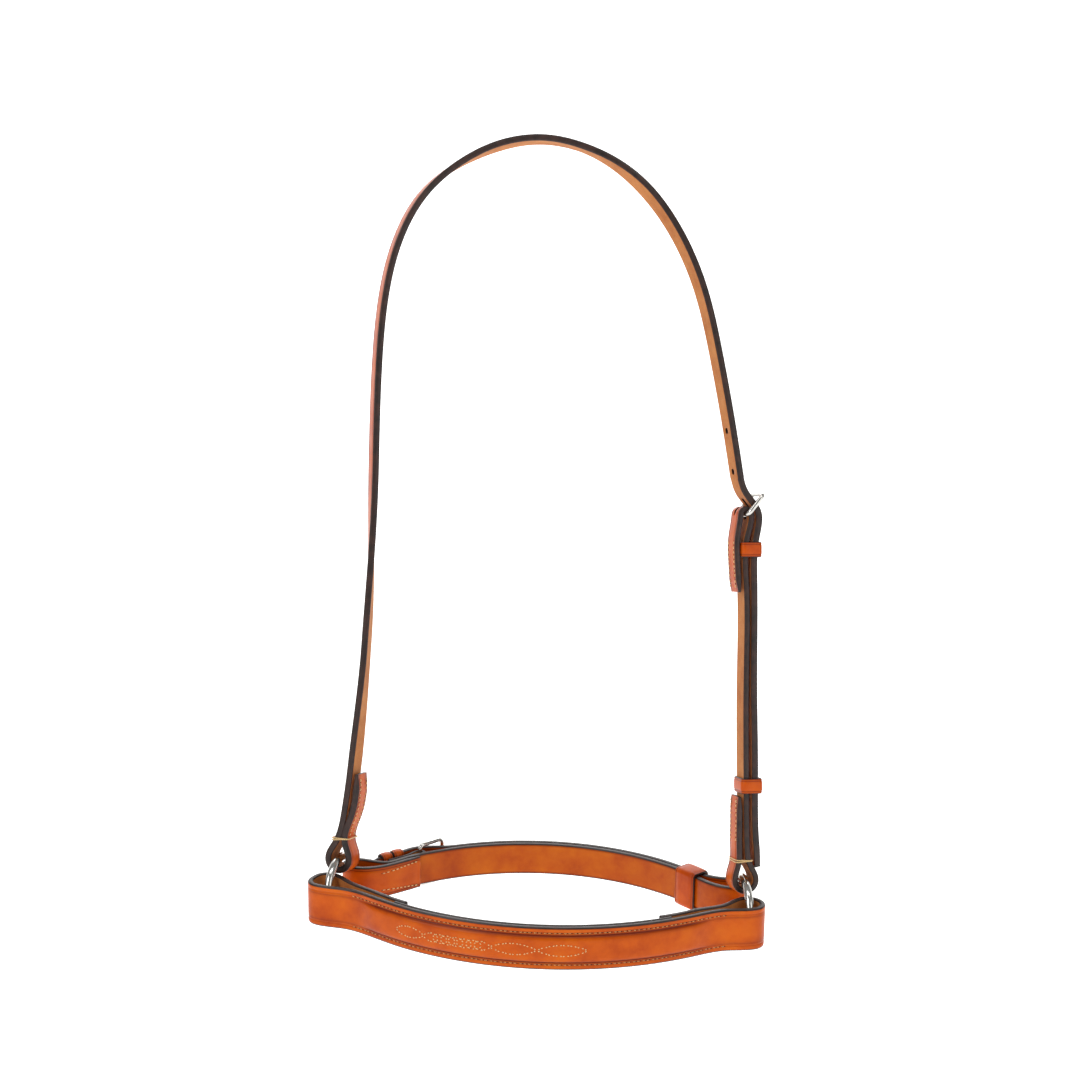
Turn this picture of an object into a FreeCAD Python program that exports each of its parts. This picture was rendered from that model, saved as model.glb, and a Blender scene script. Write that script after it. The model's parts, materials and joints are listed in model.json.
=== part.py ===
import FreeCAD, Part
import Sketcher
import math
import os

# A leather side-ring noseband with its headpiece: a raised, fancy-stitched nosepiece and a
# doubled, buckled chin strap loop round two side rings, and a crown strap over the poll buckles
# to a short cheek strap. Millimetres. +Z is up, -Y is the front of the nose, +X is the buckle
# side. The origin is the underside of the crown strap at its highest point.

Vector = FreeCAD.Vector
doc = FreeCAD.newDocument("SideRingNoseband")

sheet = doc.addObject("Spreadsheet::Sheet", "Sizes")
SIZES = [
    # side rings
    ("ring_radius", 20.0), ("ring_wire", 5.0), ("ring_half_gap", 120.0), ("ring_drop", 456.5),
    ("ring_splay", 13.0), ("left_ring_rise", 8.0), ("cheek_turn", 20.0), ("left_turn", 13.0),
    ("left_twist", 24.0),
    # crown strap and cheek strap
    ("crown_width", 13.0), ("crown_thick", 4.0), ("cheek_thick", 3.4),
    ("crown_loop_hole", "=ring_wire / 2 + 2.3"), ("neck_height", 9.5),
    ("hole_size", 3.6), ("hole_spacing", 24.0), ("keeper_wall", 1.4), ("keeper_wide", 9.0),
    # nosepiece
    ("noseband_width", 25.4), ("noseband_radius", "=ring_half_gap * 1.40833"),
    ("noseband_depth", "=ring_half_gap * 0.354167 + 24.5"),
    ("noseband_tilt", 12.0), ("noseband_angle", 34.0), ("face_thick", 3.2), ("lining_thick", 2.3),
    ("nose_loop_hole", "=ring_wire / 2 + 3.8"), ("left_end_reach", 4.0), ("ridge_width", 16.0),
    ("ridge_height", 2.0), ("ridge_angle", 33.0), ("ridge_wall", 1.4), ("thread_size", 0.8),
    ("seam_inset", 3.2),
    # chin strap
    ("chin_width", 20.0), ("chin_thick", 3.2), ("chin_radius", "=ring_half_gap * 1.05833"),
    ("chin_depth", "=ring_half_gap * 0.525"),
    ("chin_loop_hole", "=ring_wire / 2 + 2.4"), ("layer_gap", 0.4), ("chape_thick", 1.8),
    ("chape_width", 18.0),
    # buckles
    ("buckle_wire", 2.8), ("cheek_buckle_reach", 15.4),
    ("tongue_wire", 2.2), ("buckle_side_room", 1.6), ("tongue_room", 0.4),
    # fits between neighbours
    ("play", 0.35),
]
for row, (name, value) in enumerate(SIZES, start=1):
    sheet.set("A%d" % row, name)
    sheet.set("B%d" % row, str(value))
    sheet.setAlias("B%d" % row, name)
doc.recompute()


def size(name):
    return float(getattr(sheet, name))


parts = []


def keep(obj, label):
    """Name a finished sub-part; its label names its file."""
    obj.Label = label
    parts.append(obj)
    return obj


# ---------------------------------------------------------------- places worked out from sizes
# the noseband's own frame: its origin is midway between the rings, whose left one sits higher
gap = size("ring_half_gap")
drop = size("ring_drop")
rise = size("left_ring_rise")
ring_roll = math.degrees(math.atan(rise / (2 * gap)))
nose_frame = FreeCAD.Placement(
    Vector(0, 0, rise / 2 - drop),
    FreeCAD.Rotation(Vector(0, 1, 0), ring_roll) * FreeCAD.Rotation(Vector(1, 0, 0), size("noseband_tilt")))
splay = math.radians(size("ring_splay"))
wire = size("ring_wire") / 2
ring_out = size("ring_radius") * math.sin(splay)
ring_fore = size("ring_radius") * math.cos(splay)
nose_centre = size("noseband_radius") - size("noseband_depth")
chin_centre = size("chin_depth") - size("chin_radius")


def wire_dip(width):
    """How far the ring's wire curves away from a strap's edges."""
    return size("ring_radius") - math.sqrt(size("ring_radius") ** 2 - (width / 2) ** 2)


# hole centres of the loops that go round the wire; the wire lies in each hole with room to swing
nose_loop = (gap + ring_out - 0.9, -ring_fore + wire_dip(size("noseband_width")) * 0.63)
chin_loop = (gap - ring_out + 0.3, ring_fore - wire_dip(size("chin_width")) * 0.55)
top_loop = (gap, size("ring_radius") - drop - 0.7)


def round_points(centre, radius, start, end, count):
    """Points on an arc, angles in degrees from +X."""
    step = (end - start) / (count - 1)
    turns = [math.radians(start + step * i) for i in range(count)]
    return [(centre[0] + radius * math.cos(a), centre[1] + radius * math.sin(a)) for a in turns]


def nose_arc(radius, degrees):
    """A point on the nosepiece's curve; 0 degrees is the front, positive to +X."""
    a = math.radians(degrees)
    return (radius * math.sin(a), nose_centre - radius * math.cos(a))


def chin_arc(radius, degrees):
    """A point on the chin strap's curve; 0 degrees is the back, positive to +X."""
    a = math.radians(degrees)
    return (radius * math.sin(a), chin_centre + radius * math.cos(a))


# ---------------------------------------------------------------- straps drawn along a line
def smooth_line(points):
    line = Part.BSplineCurve()
    line.interpolate([Vector(x, y, 0) for x, y in points])
    return line


def stations_along(line, turn=12.0, longest=20.0):
    """Places on a line, each turning no more than `turn` degrees from the last."""
    length = line.length()
    count = int(length / 0.7)
    stations = [line.FirstParameter]
    since = 0.0
    for i in range(1, count):
        place = line.parameterAtDistance(length * i / count, line.FirstParameter)
        since += length / count
        bend = line.tangent(place)[0].getAngle(line.tangent(stations[-1])[0])
        if math.degrees(bend) > turn or since > longest:
            stations.append(place)
            since = 0.0
    return stations + [line.LastParameter]


def strap_solid(points, thickness, width):
    """A strap on edge: its middle line runs through the points in XY, its width is along Z."""
    line = smooth_line(points)
    stations = stations_along(line)

    def beside(place, side):
        along = line.tangent(place)[0]
        return line.value(place) + Vector(-along.y, along.x, 0) * (side * thickness / 2)

    def side_edges(side):
        edges = []
        for start, end in zip(stations[:-1], stations[1:]):
            a, middle, b = (beside(p, side) for p in (start, (start + end) / 2, end))
            straight = (b - a).normalize().cross(middle - a).Length < 0.002
            curve = Part.LineSegment(a, b) if straight else Part.Arc(a, middle, b)
            edges.append(curve.toShape())
        return edges

    caps = [Part.makeLine(beside(p, 1), beside(p, -1)) for p in (stations[0], stations[-1])]
    outline = Part.Wire(Part.__sortEdges__(side_edges(1) + side_edges(-1) + caps))
    solid = Part.Face(outline).extrude(Vector(0, 0, width))
    solid.translate(Vector(0, 0, -width / 2))
    return solid


def strap_feature(label, solid, placement=FreeCAD.Placement()):
    obj = doc.addObject("Part::Feature", label)
    obj.Shape = solid
    obj.Placement = placement.multiply(solid.Placement)
    return keep(obj, label)


# a side view (x, z) is drawn in XY and stood up; the whole cheek side is turned about its upright
cheek_upright = Vector(gap, 0, 0)
cheek_side = FreeCAD.Placement(
    Vector(0, 0, 0), FreeCAD.Rotation(Vector(0, 0, 1), size("cheek_turn")), cheek_upright)
left_side = FreeCAD.Placement(
    Vector(0, 0, 0), FreeCAD.Rotation(Vector(0, 0, 1), -size("left_turn")), -cheek_upright)
upright = FreeCAD.Placement(Vector(0, 0, 0), FreeCAD.Rotation(Vector(1, 0, 0), 90))


def ease(value):
    """0 to 1 with a soft start and end."""
    value = min(max(value, 0.0), 1.0)
    return value * value * (3 - 2 * value)


def side_turn(x, z):
    """How far the headpiece is turned about the upright through a ring, in degrees."""
    down = -z / drop                          # 0 at the crown, 1 at the rings
    if x > 0:
        return size("cheek_turn") * ease((down - 0.22) / 0.2)
    return -size("left_turn") * ease((down - 0.66) / 0.15)


def strap_frame(line, place):
    """Middle, along, out and across directions of the headpiece at a place on its line."""
    spot, along = line.value(place), line.tangent(place)[0]
    x, z = spot.x, spot.y
    angle = side_turn(x, z)
    # the free strap is also twisted on its own line: outside forward at the left, back at the right
    down, aside = -z / drop, abs(x) / gap
    twist = 0.0
    if x > 0 and down < 0.44:
        twist = angle - (size("cheek_turn") + 2.0) * ease((aside - 0.17) / 0.42)
    elif x <= 0:
        twist = size("left_twist") * ease((aside - 0.17) / 0.5) * (1 - ease((down - 0.42) / 0.24))
    turn = FreeCAD.Rotation(Vector(0, 0, 1), angle)
    pivot = Vector(gap if x > 0 else -gap, 0, 0)
    middle = pivot + turn.multVec(Vector(x, 0, z) - pivot)
    ahead = turn.multVec(Vector(along.x, 0, along.y))
    own = FreeCAD.Rotation(ahead, twist)
    across = own.multVec(turn.multVec(Vector(0, 1, 0)))
    out = own.multVec(turn.multVec(Vector(-along.y, 0, along.x)))
    return middle, ahead, out, across


# ---------------------------------------------------------------- crown strap
loop_mid = size("crown_loop_hole") + size("crown_thick") / 2
lap_step = size("crown_thick") + 0.8
left_loop = (-top_loop[0], top_loop[1] + rise)
neck = top_loop[1] + size("neck_height")
left_neck = left_loop[1] + size("neck_height")
cheek_mid = gap + 0.5
tail_mid = cheek_mid + size("cheek_thick") / 2 + size("crown_thick") / 2 + 2 * size("play")
buckle_bar = (gap + 0.4, -0.4874 * drop)
upper_keeper = buckle_bar[1] - 20.5
lower_keeper = -drop + 74.5


def hang(x, z):
    """A place on the free strap, given as shares of the rings' half gap and of their drop."""
    return (x * gap, -z * drop)


crown_lap = [
    (-gap + 12.2, left_neck + 41.7), (-gap + 8.8, left_neck + 17.7), (-gap + lap_step - 0.6, left_neck)]
crown_ring_loop = round_points(left_loop, loop_mid, 10, -190, 9)
crown_left = [
    (-gap - 2.2, left_neck), (-gap + 3.6, left_neck + 17.7), (-gap + 7.4, left_neck + 41.7),
    hang(-0.887, 0.69), hang(-0.861, 0.585), hang(-0.841, 0.427), hang(-0.82, 0.2716),
    hang(-0.787, 0.1928), hang(-0.7025, 0.1139), hang(-0.583, 0.0624), hang(-0.35, 0.0175),
    (0.0, size("crown_thick") / 2)]
crown_right = [
    hang(0.3, 0.018), hang(0.511, 0.0602), hang(0.6625, 0.1139), hang(0.795, 0.1928),
    hang(0.867, 0.2716), hang(0.936, 0.3768), hang(0.968, 0.4294)]
crown_tail = [
    (buckle_bar[0] - 0.5, buckle_bar[1] + 13.5), (buckle_bar[0] + 7.6, buckle_bar[1] + 1.5),
    (tail_mid + 1.9, buckle_bar[1] - 13.5), (tail_mid + 0.6, buckle_bar[1] - 39.5),
    (tail_mid + 0.5, (buckle_bar[1] + lower_keeper) / 2 - 27.0), (tail_mid + 1.0, lower_keeper + 16.0),
    (tail_mid + 1.0, lower_keeper - 12.0), (tail_mid + 2.0, -drop + 38.5), (tail_mid + 3.6, -drop + 26.0)]
crown_line = crown_lap + crown_ring_loop + crown_left + crown_right + crown_tail
crown_path = smooth_line(crown_line)
tip_long = 14.0
tip_wide = 0.42                               # the blunt tip's share of the strap's width


def crown_section(place):
    middle, _, out, across = strap_frame(crown_path, place)
    left = crown_path.length(place, crown_path.LastParameter) if place < crown_path.LastParameter else 0
    share = tip_wide + (1 - tip_wide) * math.sin(min(left / tip_long, 1.0) * math.pi / 2)
    wide = across * (size("crown_width") / 2 * share)
    thick = out * (size("crown_thick") / 2)
    corners = [middle + wide + thick, middle - wide + thick, middle - wide - thick, middle + wide - thick]
    return Part.makePolygon(corners + corners[:1])


crown_stations = stations_along(crown_path, 10.0, 14.0)
near_tip = crown_path.parameterAtDistance(-6.0, crown_path.LastParameter)
crown_stations[-1:] = [near_tip, crown_path.LastParameter]
crown = Part.makeLoft([crown_section(place) for place in crown_stations], True, True)


def drill(place, radius, length):
    middle, _, out, _ = strap_frame(crown_path, place)
    return Part.makeCylinder(radius, length, middle - out * (length / 2), out)


# punched holes: the tongue's own, two above the buckle and three on the tail
tongue_spot = crown_path.parameter(Vector(buckle_bar[0] + 5.0, buckle_bar[1] + 4.2, 0))
cutters = []
for step in (-2, -1, 1, 2, 3):
    place = crown_path.parameterAtDistance(step * size("hole_spacing"), tongue_spot)
    cutters.append(drill(place, size("hole_size") / 2, 12.0))
slot_long = 15.0
slot_wide = size("tongue_wire") + 2 * size("tongue_room")
middle, ahead, out, across = strap_frame(crown_path, tongue_spot)
slot = Part.makeBox(slot_long, 12.0, slot_wide, Vector(-slot_long / 2, -6.0, -slot_wide / 2))
slot.Placement = FreeCAD.Placement(middle, FreeCAD.Rotation(ahead, out, across, "XYZ"))
cutters.append(slot)
crown = crown.cut(cutters)
strap_feature("crown_strap", crown)

# ---------------------------------------------------------------- cheek strap
cheek_loop_mid = size("crown_loop_hole") + size("cheek_thick") / 2
bar_fold = size("buckle_wire") / 2 + 0.2 + size("cheek_thick") / 2
cheek_lap_in = cheek_mid - size("cheek_thick") - 0.8
upper_lap = [
    (cheek_lap_in, buckle_bar[1] - 45.5), (cheek_lap_in - 1.3, buckle_bar[1] - 25.5),
    (cheek_lap_in - 1.2, buckle_bar[1] - 13.5)]
cheek_bar_fold = round_points(buckle_bar, bar_fold, 185, -5, 7)
cheek_run = [
    (cheek_mid + 0.6, buckle_bar[1] - 13.5), (cheek_mid, buckle_bar[1] - 39.5),
    (cheek_mid, (buckle_bar[1] + lower_keeper) / 2 - 18.0), (cheek_mid, lower_keeper + 2.0),
    (cheek_mid + 0.2, lower_keeper - 22.0), (cheek_mid + 0.5, neck + 10.0), (gap + 2.5, neck)]
cheek_ring_loop = round_points(top_loop, cheek_loop_mid, 10, -190, 9)
lower_lap = [
    (gap - 4.2, neck), (cheek_lap_in - 0.1, neck + 10.0), (cheek_lap_in, lower_keeper - 22.0),
    (cheek_lap_in, lower_keeper - 6.2)]
cheek_line = upper_lap + cheek_bar_fold + cheek_run + cheek_ring_loop + lower_lap
cheek = strap_solid(cheek_line, size("cheek_thick"), size("crown_width"))
slot = Part.makeBox(10.0, 12.0, slot_wide, Vector(-4.0, -4.0, -slot_wide / 2))
slot.translate(Vector(buckle_bar[0], buckle_bar[1], 0))
cheek = cheek.cut(slot)
strap_feature("cheek_strap", cheek, cheek_side.multiply(upright))


# ---------------------------------------------------------------- flat rings: keepers, bindings
def origin_plane(body, role):
    for feature in body.Origin.OriginFeatures:
        if feature.Role == role:
            return feature


def rectangle(sketch, wide, tall, wide_rule, tall_rule):
    """A rectangle centred on the sketch's origin, its two sizes bound to the sheet."""
    first = sketch.GeometryCount
    corners = [(-wide / 2, -tall / 2), (wide / 2, -tall / 2), (wide / 2, tall / 2), (-wide / 2, tall / 2)]
    for i in range(4):
        a, b = corners[i], corners[(i + 1) % 4]
        sketch.addGeometry(Part.LineSegment(Vector(a[0], a[1], 0), Vector(b[0], b[1], 0)), False)
    Rule = Sketcher.Constraint
    for i in range(4):
        sketch.addConstraint(Rule("Coincident", first + i, 2, first + (i + 1) % 4, 1))
    for i in (0, 2):
        sketch.addConstraint(Rule("Horizontal", first + i))
    for i in (1, 3):
        sketch.addConstraint(Rule("Vertical", first + i))
    sketch.addConstraint(Rule("Symmetric", first, 1, first + 1, 2, -1, 1))
    index = sketch.addConstraint(Rule("Distance", first, wide))
    sketch.setExpression("Constraints[%d]" % index, wide_rule)
    index = sketch.addConstraint(Rule("Distance", first + 1, tall))
    sketch.setExpression("Constraints[%d]" % index, tall_rule)


def flat_ring(label, inner_wide, inner_tall, wall, length, place):
    """A rectangular band; inner sizes, wall and length are expressions on the sheet."""
    body = doc.addObject("PartDesign::Body", label)
    sketch = body.newObject("Sketcher::SketchObject", label + "_sketch")
    sketch.AttachmentSupport = [(origin_plane(body, "XY_Plane"), "")]
    sketch.MapMode = "FlatFace"
    rectangle(sketch, 30, 20, "(%s) + 2 * (%s)" % (inner_wide, wall), "(%s) + 2 * (%s)" % (inner_tall, wall))
    rectangle(sketch, 20, 10, inner_wide, inner_tall)
    pad = body.newObject("PartDesign::Pad", label + "_pad")
    pad.Profile = sketch
    pad.Midplane = True
    pad.setExpression("Length", length)
    body.Placement = place
    return keep(body, label)


def column(x, z):
    """A place on the headpiece whose band lies across the strap."""
    turned = cheek_side if x > 0 else left_side
    return turned.multiply(FreeCAD.Placement(Vector(x, 0, z), FreeCAD.Rotation()))


pair = "Sizes.cheek_thick + Sizes.crown_thick + 3 * Sizes.play"
across = "Sizes.crown_width + 2 * Sizes.play"
pair_middle = (cheek_mid - size("cheek_thick") / 2 + tail_mid + size("crown_thick") / 2) / 2
flat_ring("cheek_keeper_upper", pair + " + 2.6", across, "Sizes.keeper_wall - 0.4", "Sizes.keeper_wide",
          column(pair_middle + 0.8, upper_keeper))
flat_ring("cheek_keeper_lower", pair + " + 2.2", across, "Sizes.keeper_wall", "Sizes.keeper_wide",
          column(pair_middle + 0.9, lower_keeper))
flat_ring("crown_loop_binding", "2 * Sizes.crown_thick + 4.0", across, "Sizes.thread_size", "2.4",
          column(-gap + 1.5, left_neck + 2.6))
flat_ring("cheek_loop_binding", "2 * Sizes.cheek_thick + 4.1", across, "Sizes.thread_size", "2.4",
          column(gap - 0.8, neck + 1.8))

doc.recompute()

# ---------------------------------------------------------------- side rings
for label, side in (("ring_right", 1), ("ring_left", -1)):
    ring = doc.addObject("Part::Torus", label)
    ring.setExpression("Radius1", "Sizes.ring_radius")
    ring.setExpression("Radius2", "Sizes.ring_wire / 2")
    height = -drop if side > 0 else rise - drop
    turn = FreeCAD.Rotation(Vector(0, 0, 1), side * size("ring_splay"))
    ring.Placement = FreeCAD.Placement(
        Vector(side * gap, 0, height), turn * FreeCAD.Rotation(Vector(0, 1, 0), 90))
    keep(ring, label)

# ---------------------------------------------------------------- nosepiece
face_mid = size("noseband_radius") - size("face_thick") / 2
lap_mid = size("noseband_radius") - size("face_thick") * 1.5 - size("lining_thick") - 0.4
nose_loop_mid = size("nose_loop_hole") + size("face_thick") / 2
flat_end = size("noseband_angle")


def mirrored(points):
    return [(-x, y) for x, y in reversed(points)]


front = [nose_arc(face_mid, a) for a in (5, 12, 19, 26, flat_end)]
outer_leg = [(nose_loop[0] - 12.5, nose_loop[1] - 10.9)]
nose_turn = round_points(nose_loop, nose_loop_mid, -72, 128, 9)
inner_leg = [(nose_loop[0] - 13.1, nose_loop[1] - 3.2)]
lap = [nose_arc(lap_mid, a) for a in (flat_end + 2.0, flat_end - 2, flat_end - 7)]
right_half = front + outer_leg + nose_turn + inner_leg + lap
# the left end stands further out than the right, so its loop is longer
left_reach = size("left_end_reach")
shares = [0.0] * 5 + [0.4] + [1.0] * 9 + [0.4] + [0.0] * 3
lifts = [0.0] * 11 + [1.8, 2.4, 2.9, 3.1] + [2.9] + [0.0] * 3
left_half = [(x + left_reach * share, y + lift) for (x, y), share, lift in zip(right_half, shares, lifts)]
face_line = mirrored(left_half) + [nose_arc(face_mid, 0)] + right_half
face = strap_solid(face_line, size("face_thick"), size("noseband_width"))


def sector(inner, outer, height, half_angle, centre=0.0):
    """A curved strip on the nosepiece's own centre; centre is its middle angle."""
    middle = math.radians(centre)
    ring = Part.makeCylinder(outer, height, Vector(0, nose_centre, -height / 2), Vector(0, 0, 1),
                             2 * half_angle)
    ring = ring.cut(Part.makeCylinder(inner, height + 2, Vector(0, nose_centre, -height / 2 - 1)))
    ring.rotate(Vector(0, nose_centre, 0), Vector(0, 0, 1), -90 - half_angle + math.degrees(middle))
    return ring


outer_face = size("noseband_radius")
ridge = sector(outer_face - 0.5, outer_face + size("ridge_height"), size("ridge_width"), size("ridge_angle"))
hollow_top = outer_face + size("ridge_height") - size("ridge_wall")
hollow_low = outer_face - size("face_thick")
hollow_wide = size("ridge_width") - 2 * size("ridge_wall")
hollow = sector(hollow_low - 0.5, hollow_top, hollow_wide, size("ridge_angle") - 1.5)
face = face.fuse(ridge).cut(hollow).removeSplitter()
strap_feature("noseband_face", face, nose_frame)

filler = sector(hollow_low, hollow_top - 0.05, hollow_wide - 0.1, size("ridge_angle") - 1.6)
strap_feature("noseband_filler", filler, nose_frame)
lining = sector(hollow_low - size("lining_thick"), hollow_low - 0.1, size("noseband_width"), flat_end - 5.0)
strap_feature("noseband_lining", lining, nose_frame)

seam_height = size("noseband_width") / 2 - size("seam_inset")
for label, side in (("noseband_seam_upper", 1), ("noseband_seam_lower", -1)):
    seam = sector(
        outer_face + 0.03, outer_face + size("thread_size") / 2, size("thread_size"), flat_end - 1.0)
    seam.translate(Vector(0, 0, side * seam_height))
    strap_feature(label, seam, nose_frame)
crest = outer_face + size("ridge_height")
fancy = sector(crest, crest + size("thread_size") / 2, 7.0, 19.0, -7.5)
strap_feature("noseband_fancy_stitching", fancy, nose_frame)

# ---------------------------------------------------------------- chin strap
half = size("chin_thick") / 2
chin_mid = size("chin_radius") + half
chin_lap = size("chin_radius") - half - 0.4
outer_mid = chin_mid + size("chin_thick") + size("layer_gap")
chin_loop_mid = size("chin_loop_hole") + half
left_hold = (-chin_loop[0], chin_loop[1])
chape_top = size("chin_radius") + size("chin_thick") + 2 * size("chape_thick") + 0.9
keeper_leg = 1.2
tail_level = chape_top + keeper_leg + 2 * size("play") + half

lap_in = [chin_arc(chin_lap, a) for a in (-39, -42, -45)]
lap_in += [(left_hold[0] + 11.5, left_hold[1] - 5.4)]
left_round = [(2 * left_hold[0] - x, y) for x, y in round_points(left_hold, chin_loop_mid, -80, 80, 7)]
join = [(left_hold[0] + 9.3, left_hold[1] + 5.0)]
inner_run = [chin_arc(chin_mid + 1.1, -48.3)]
inner_run += [chin_arc(chin_mid, a) for a in (-43, -36, -27, -18, -9, 0, 9, 18, 27, 36, 43)]
to_right = [(chin_loop[0] - 13.0, chin_loop[1] - 2.9)]
right_round = round_points(chin_loop, chin_loop_mid, -90, 90, 7)
outer_run = [(chin_loop[0] - 12.0, chin_loop[1] + 8.0)]
outer_run += [chin_arc(outer_mid, a) for a in (41, 34, 25, 16, 7, -2, -11, -19, -24)]
over_buckle = [chin_arc(outer_mid + 1.2, -29.5), chin_arc(outer_mid + 5.2, -33.5)]
over_buckle += [chin_arc(tail_level + 1.5, -37.3), chin_arc(tail_level, -42.0)]
chin_tail = [chin_arc(tail_level, -45.3), chin_arc(tail_level + 0.2, -47.4)]
# the tail's tip lifts clear of the loop round the left ring; a thicker loop lifts it more
loop_extra = size("chin_loop_hole") + 1.5 * size("chin_thick") - 9.7
chin_tail += [
    chin_arc(tail_level + 2.0 + loop_extra, -49.0 + 0.8 * loop_extra),
    chin_arc(tail_level + 5.0 + 1.5 * loop_extra, -50.4 + 1.2 * loop_extra)]
chin_line = lap_in + left_round + join + inner_run + to_right + right_round + outer_run
chin_line += over_buckle + chin_tail
chin = strap_solid(chin_line, size("chin_thick"), size("chin_width"))

bar_spot = chin_arc(size("chin_radius") + size("chin_thick") + size("buckle_wire") / 2 + 0.2
                    + size("chape_thick") + 0.3, -36.8)
far_spot = chin_arc(outer_mid + half + size("buckle_wire") / 2 + 3.2, -29.7)
reach = Vector(far_spot[0] - bar_spot[0], far_spot[1] - bar_spot[1], 0)
chin_slot = Part.makeBox(15.0, 9.0, slot_wide, Vector(0.5, -1.2, -slot_wide / 2))
chin_slot.Placement = FreeCAD.Placement(
    Vector(bar_spot[0], bar_spot[1], 0),
    FreeCAD.Rotation(Vector(0, 0, 1), math.degrees(math.atan2(reach.y, reach.x))))
spare_holes = []
for angle in (-24.0, -14.0, -4.0):
    x, y = chin_arc(outer_mid, angle)
    a = math.radians(angle)
    cutter = Part.makeCylinder(size("hole_size") / 2, size("chin_thick") + 0.3,
                               Vector(x, y, 0) - Vector(math.sin(a), math.cos(a), 0) * half,
                               Vector(math.sin(a), math.cos(a), 0))
    spare_holes.append(cutter)
chin = chin.cut(spare_holes + [chin_slot])
strap_feature("chin_strap", chin, nose_frame)

# the chape: a folded leather that holds the buckle's bar, sewn on the strap
fold = size("buckle_wire") / 2 + 0.2 + size("chape_thick") / 2
leg_low = size("chin_radius") + size("chin_thick") + size("chape_thick") / 2 + 0.25
leg_high = leg_low + size("chape_thick") + 0.4
turn_angle = math.degrees(math.atan2(bar_spot[1] - chin_centre, bar_spot[0]))
chape_line = [chin_arc(leg_low + 0.3, -46.8)] + [chin_arc(leg_low + 0.1, a) for a in (-45.0, -43.0, -40.0)]
chape_line += [(x, y) for x, y in round_points(bar_spot, fold, turn_angle - 180, turn_angle, 7)]
chape_line += [chin_arc(leg_high + 0.5, -40.2)]
chape_line += [chin_arc(leg_high + 0.1, a) for a in (-43.0, -45.0)] + [chin_arc(leg_high + 0.2, -46.6)]
chape = strap_solid(chape_line, size("chape_thick"), size("chape_width"))
chape = chape.cut(chin_slot)
chape_slot = Part.makeCylinder(fold + 1.2, slot_wide, Vector(bar_spot[0], bar_spot[1], -slot_wide / 2))
chape = chape.cut(chape_slot)
strap_feature("chin_buckle_chape", chape, nose_frame)

for label, angle in (("chin_keeper_rear", -42.8), ("chin_keeper_front", -46.3)):
    x, y = chin_arc(tail_level + 0.1, angle)
    turn = FreeCAD.Rotation(Vector(0, 0, 1), -angle)
    lie = FreeCAD.Rotation(Vector(0, 1, 0), 90)
    flat_ring(label, "Sizes.chin_width + 2 * Sizes.play", "Sizes.chin_thick + 4 * Sizes.play",
              str(keeper_leg), "7.5",
              nose_frame.multiply(FreeCAD.Placement(Vector(x, y, 0), turn * lie)))

# the runner slides on the doubled strap near the right ring
run_angle = 43.0
run_mid = (chin_mid + outer_mid) / 2
x, y = chin_arc(run_mid + 0.55, run_angle)
flat_ring("chin_runner", "Sizes.chin_width + 3 * Sizes.play",
          "2 * Sizes.chin_thick + Sizes.layer_gap + 4 * Sizes.play + 3.0", "1.6", "16",
          nose_frame.multiply(FreeCAD.Placement(
              Vector(x, y, 0),
              FreeCAD.Rotation(Vector(0, 0, 1), -run_angle) * FreeCAD.Rotation(Vector(0, 1, 0), 90))))
doc.recompute()


# ---------------------------------------------------------------- buckles
def wire_loop(label, length, wide, place):
    """A buckle frame: round wire swept round a rounded rectangle; the bar lies on the Y axis."""
    body = doc.addObject("PartDesign::Body", label)
    track = body.newObject("Sketcher::SketchObject", label + "_track")
    track.AttachmentSupport = [(origin_plane(body, "XY_Plane"), "")]
    track.MapMode = "FlatFace"
    half_wide = wide / 2
    bend = 3.2
    corners = [(0, -half_wide), (length, -half_wide), (length, half_wide), (0, half_wide)]
    signs = [(1, 1), (-1, 1), (-1, -1), (1, -1)]
    for i in range(4):
        (ax, ay), (bx, by) = corners[i], corners[(i + 1) % 4]
        ux, uy = (bx - ax), (by - ay)
        norm = math.hypot(ux, uy)
        ux, uy = ux / norm * bend, uy / norm * bend
        track.addGeometry(Part.LineSegment(Vector(ax + ux, ay + uy, 0), Vector(bx - ux, by - uy, 0)), False)
        sx, sy = signs[(i + 1) % 4]
        cx, cy = bx + sx * bend, by + sy * bend
        start = {0: -90, 1: 0, 2: 90, 3: 180}[i]
        circle = Part.Circle(Vector(cx, cy, 0), Vector(0, 0, 1), bend)
        track.addGeometry(Part.ArcOfCircle(circle, math.radians(start), math.radians(start + 90)), False)
    doc.recompute()
    ring = body.newObject("Sketcher::SketchObject", label + "_wire")
    ring.AttachmentSupport = [(origin_plane(body, "XZ_Plane"), "")]
    ring.MapMode = "FlatFace"
    ring.addGeometry(Part.Circle(Vector(0, 0, 0), Vector(0, 0, 1), size("buckle_wire") / 2), False)
    ring.addConstraint(Sketcher.Constraint("Coincident", 0, 3, -1, 1))
    index = ring.addConstraint(Sketcher.Constraint("Radius", 0, size("buckle_wire") / 2))
    ring.setExpression("Constraints[%d]" % index, "Sizes.buckle_wire / 2")
    pipe = body.newObject("PartDesign::AdditivePipe", label + "_pipe")
    pipe.Profile = ring
    pipe.Spine = (track, [])
    body.Placement = place
    return keep(body, label)


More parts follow.
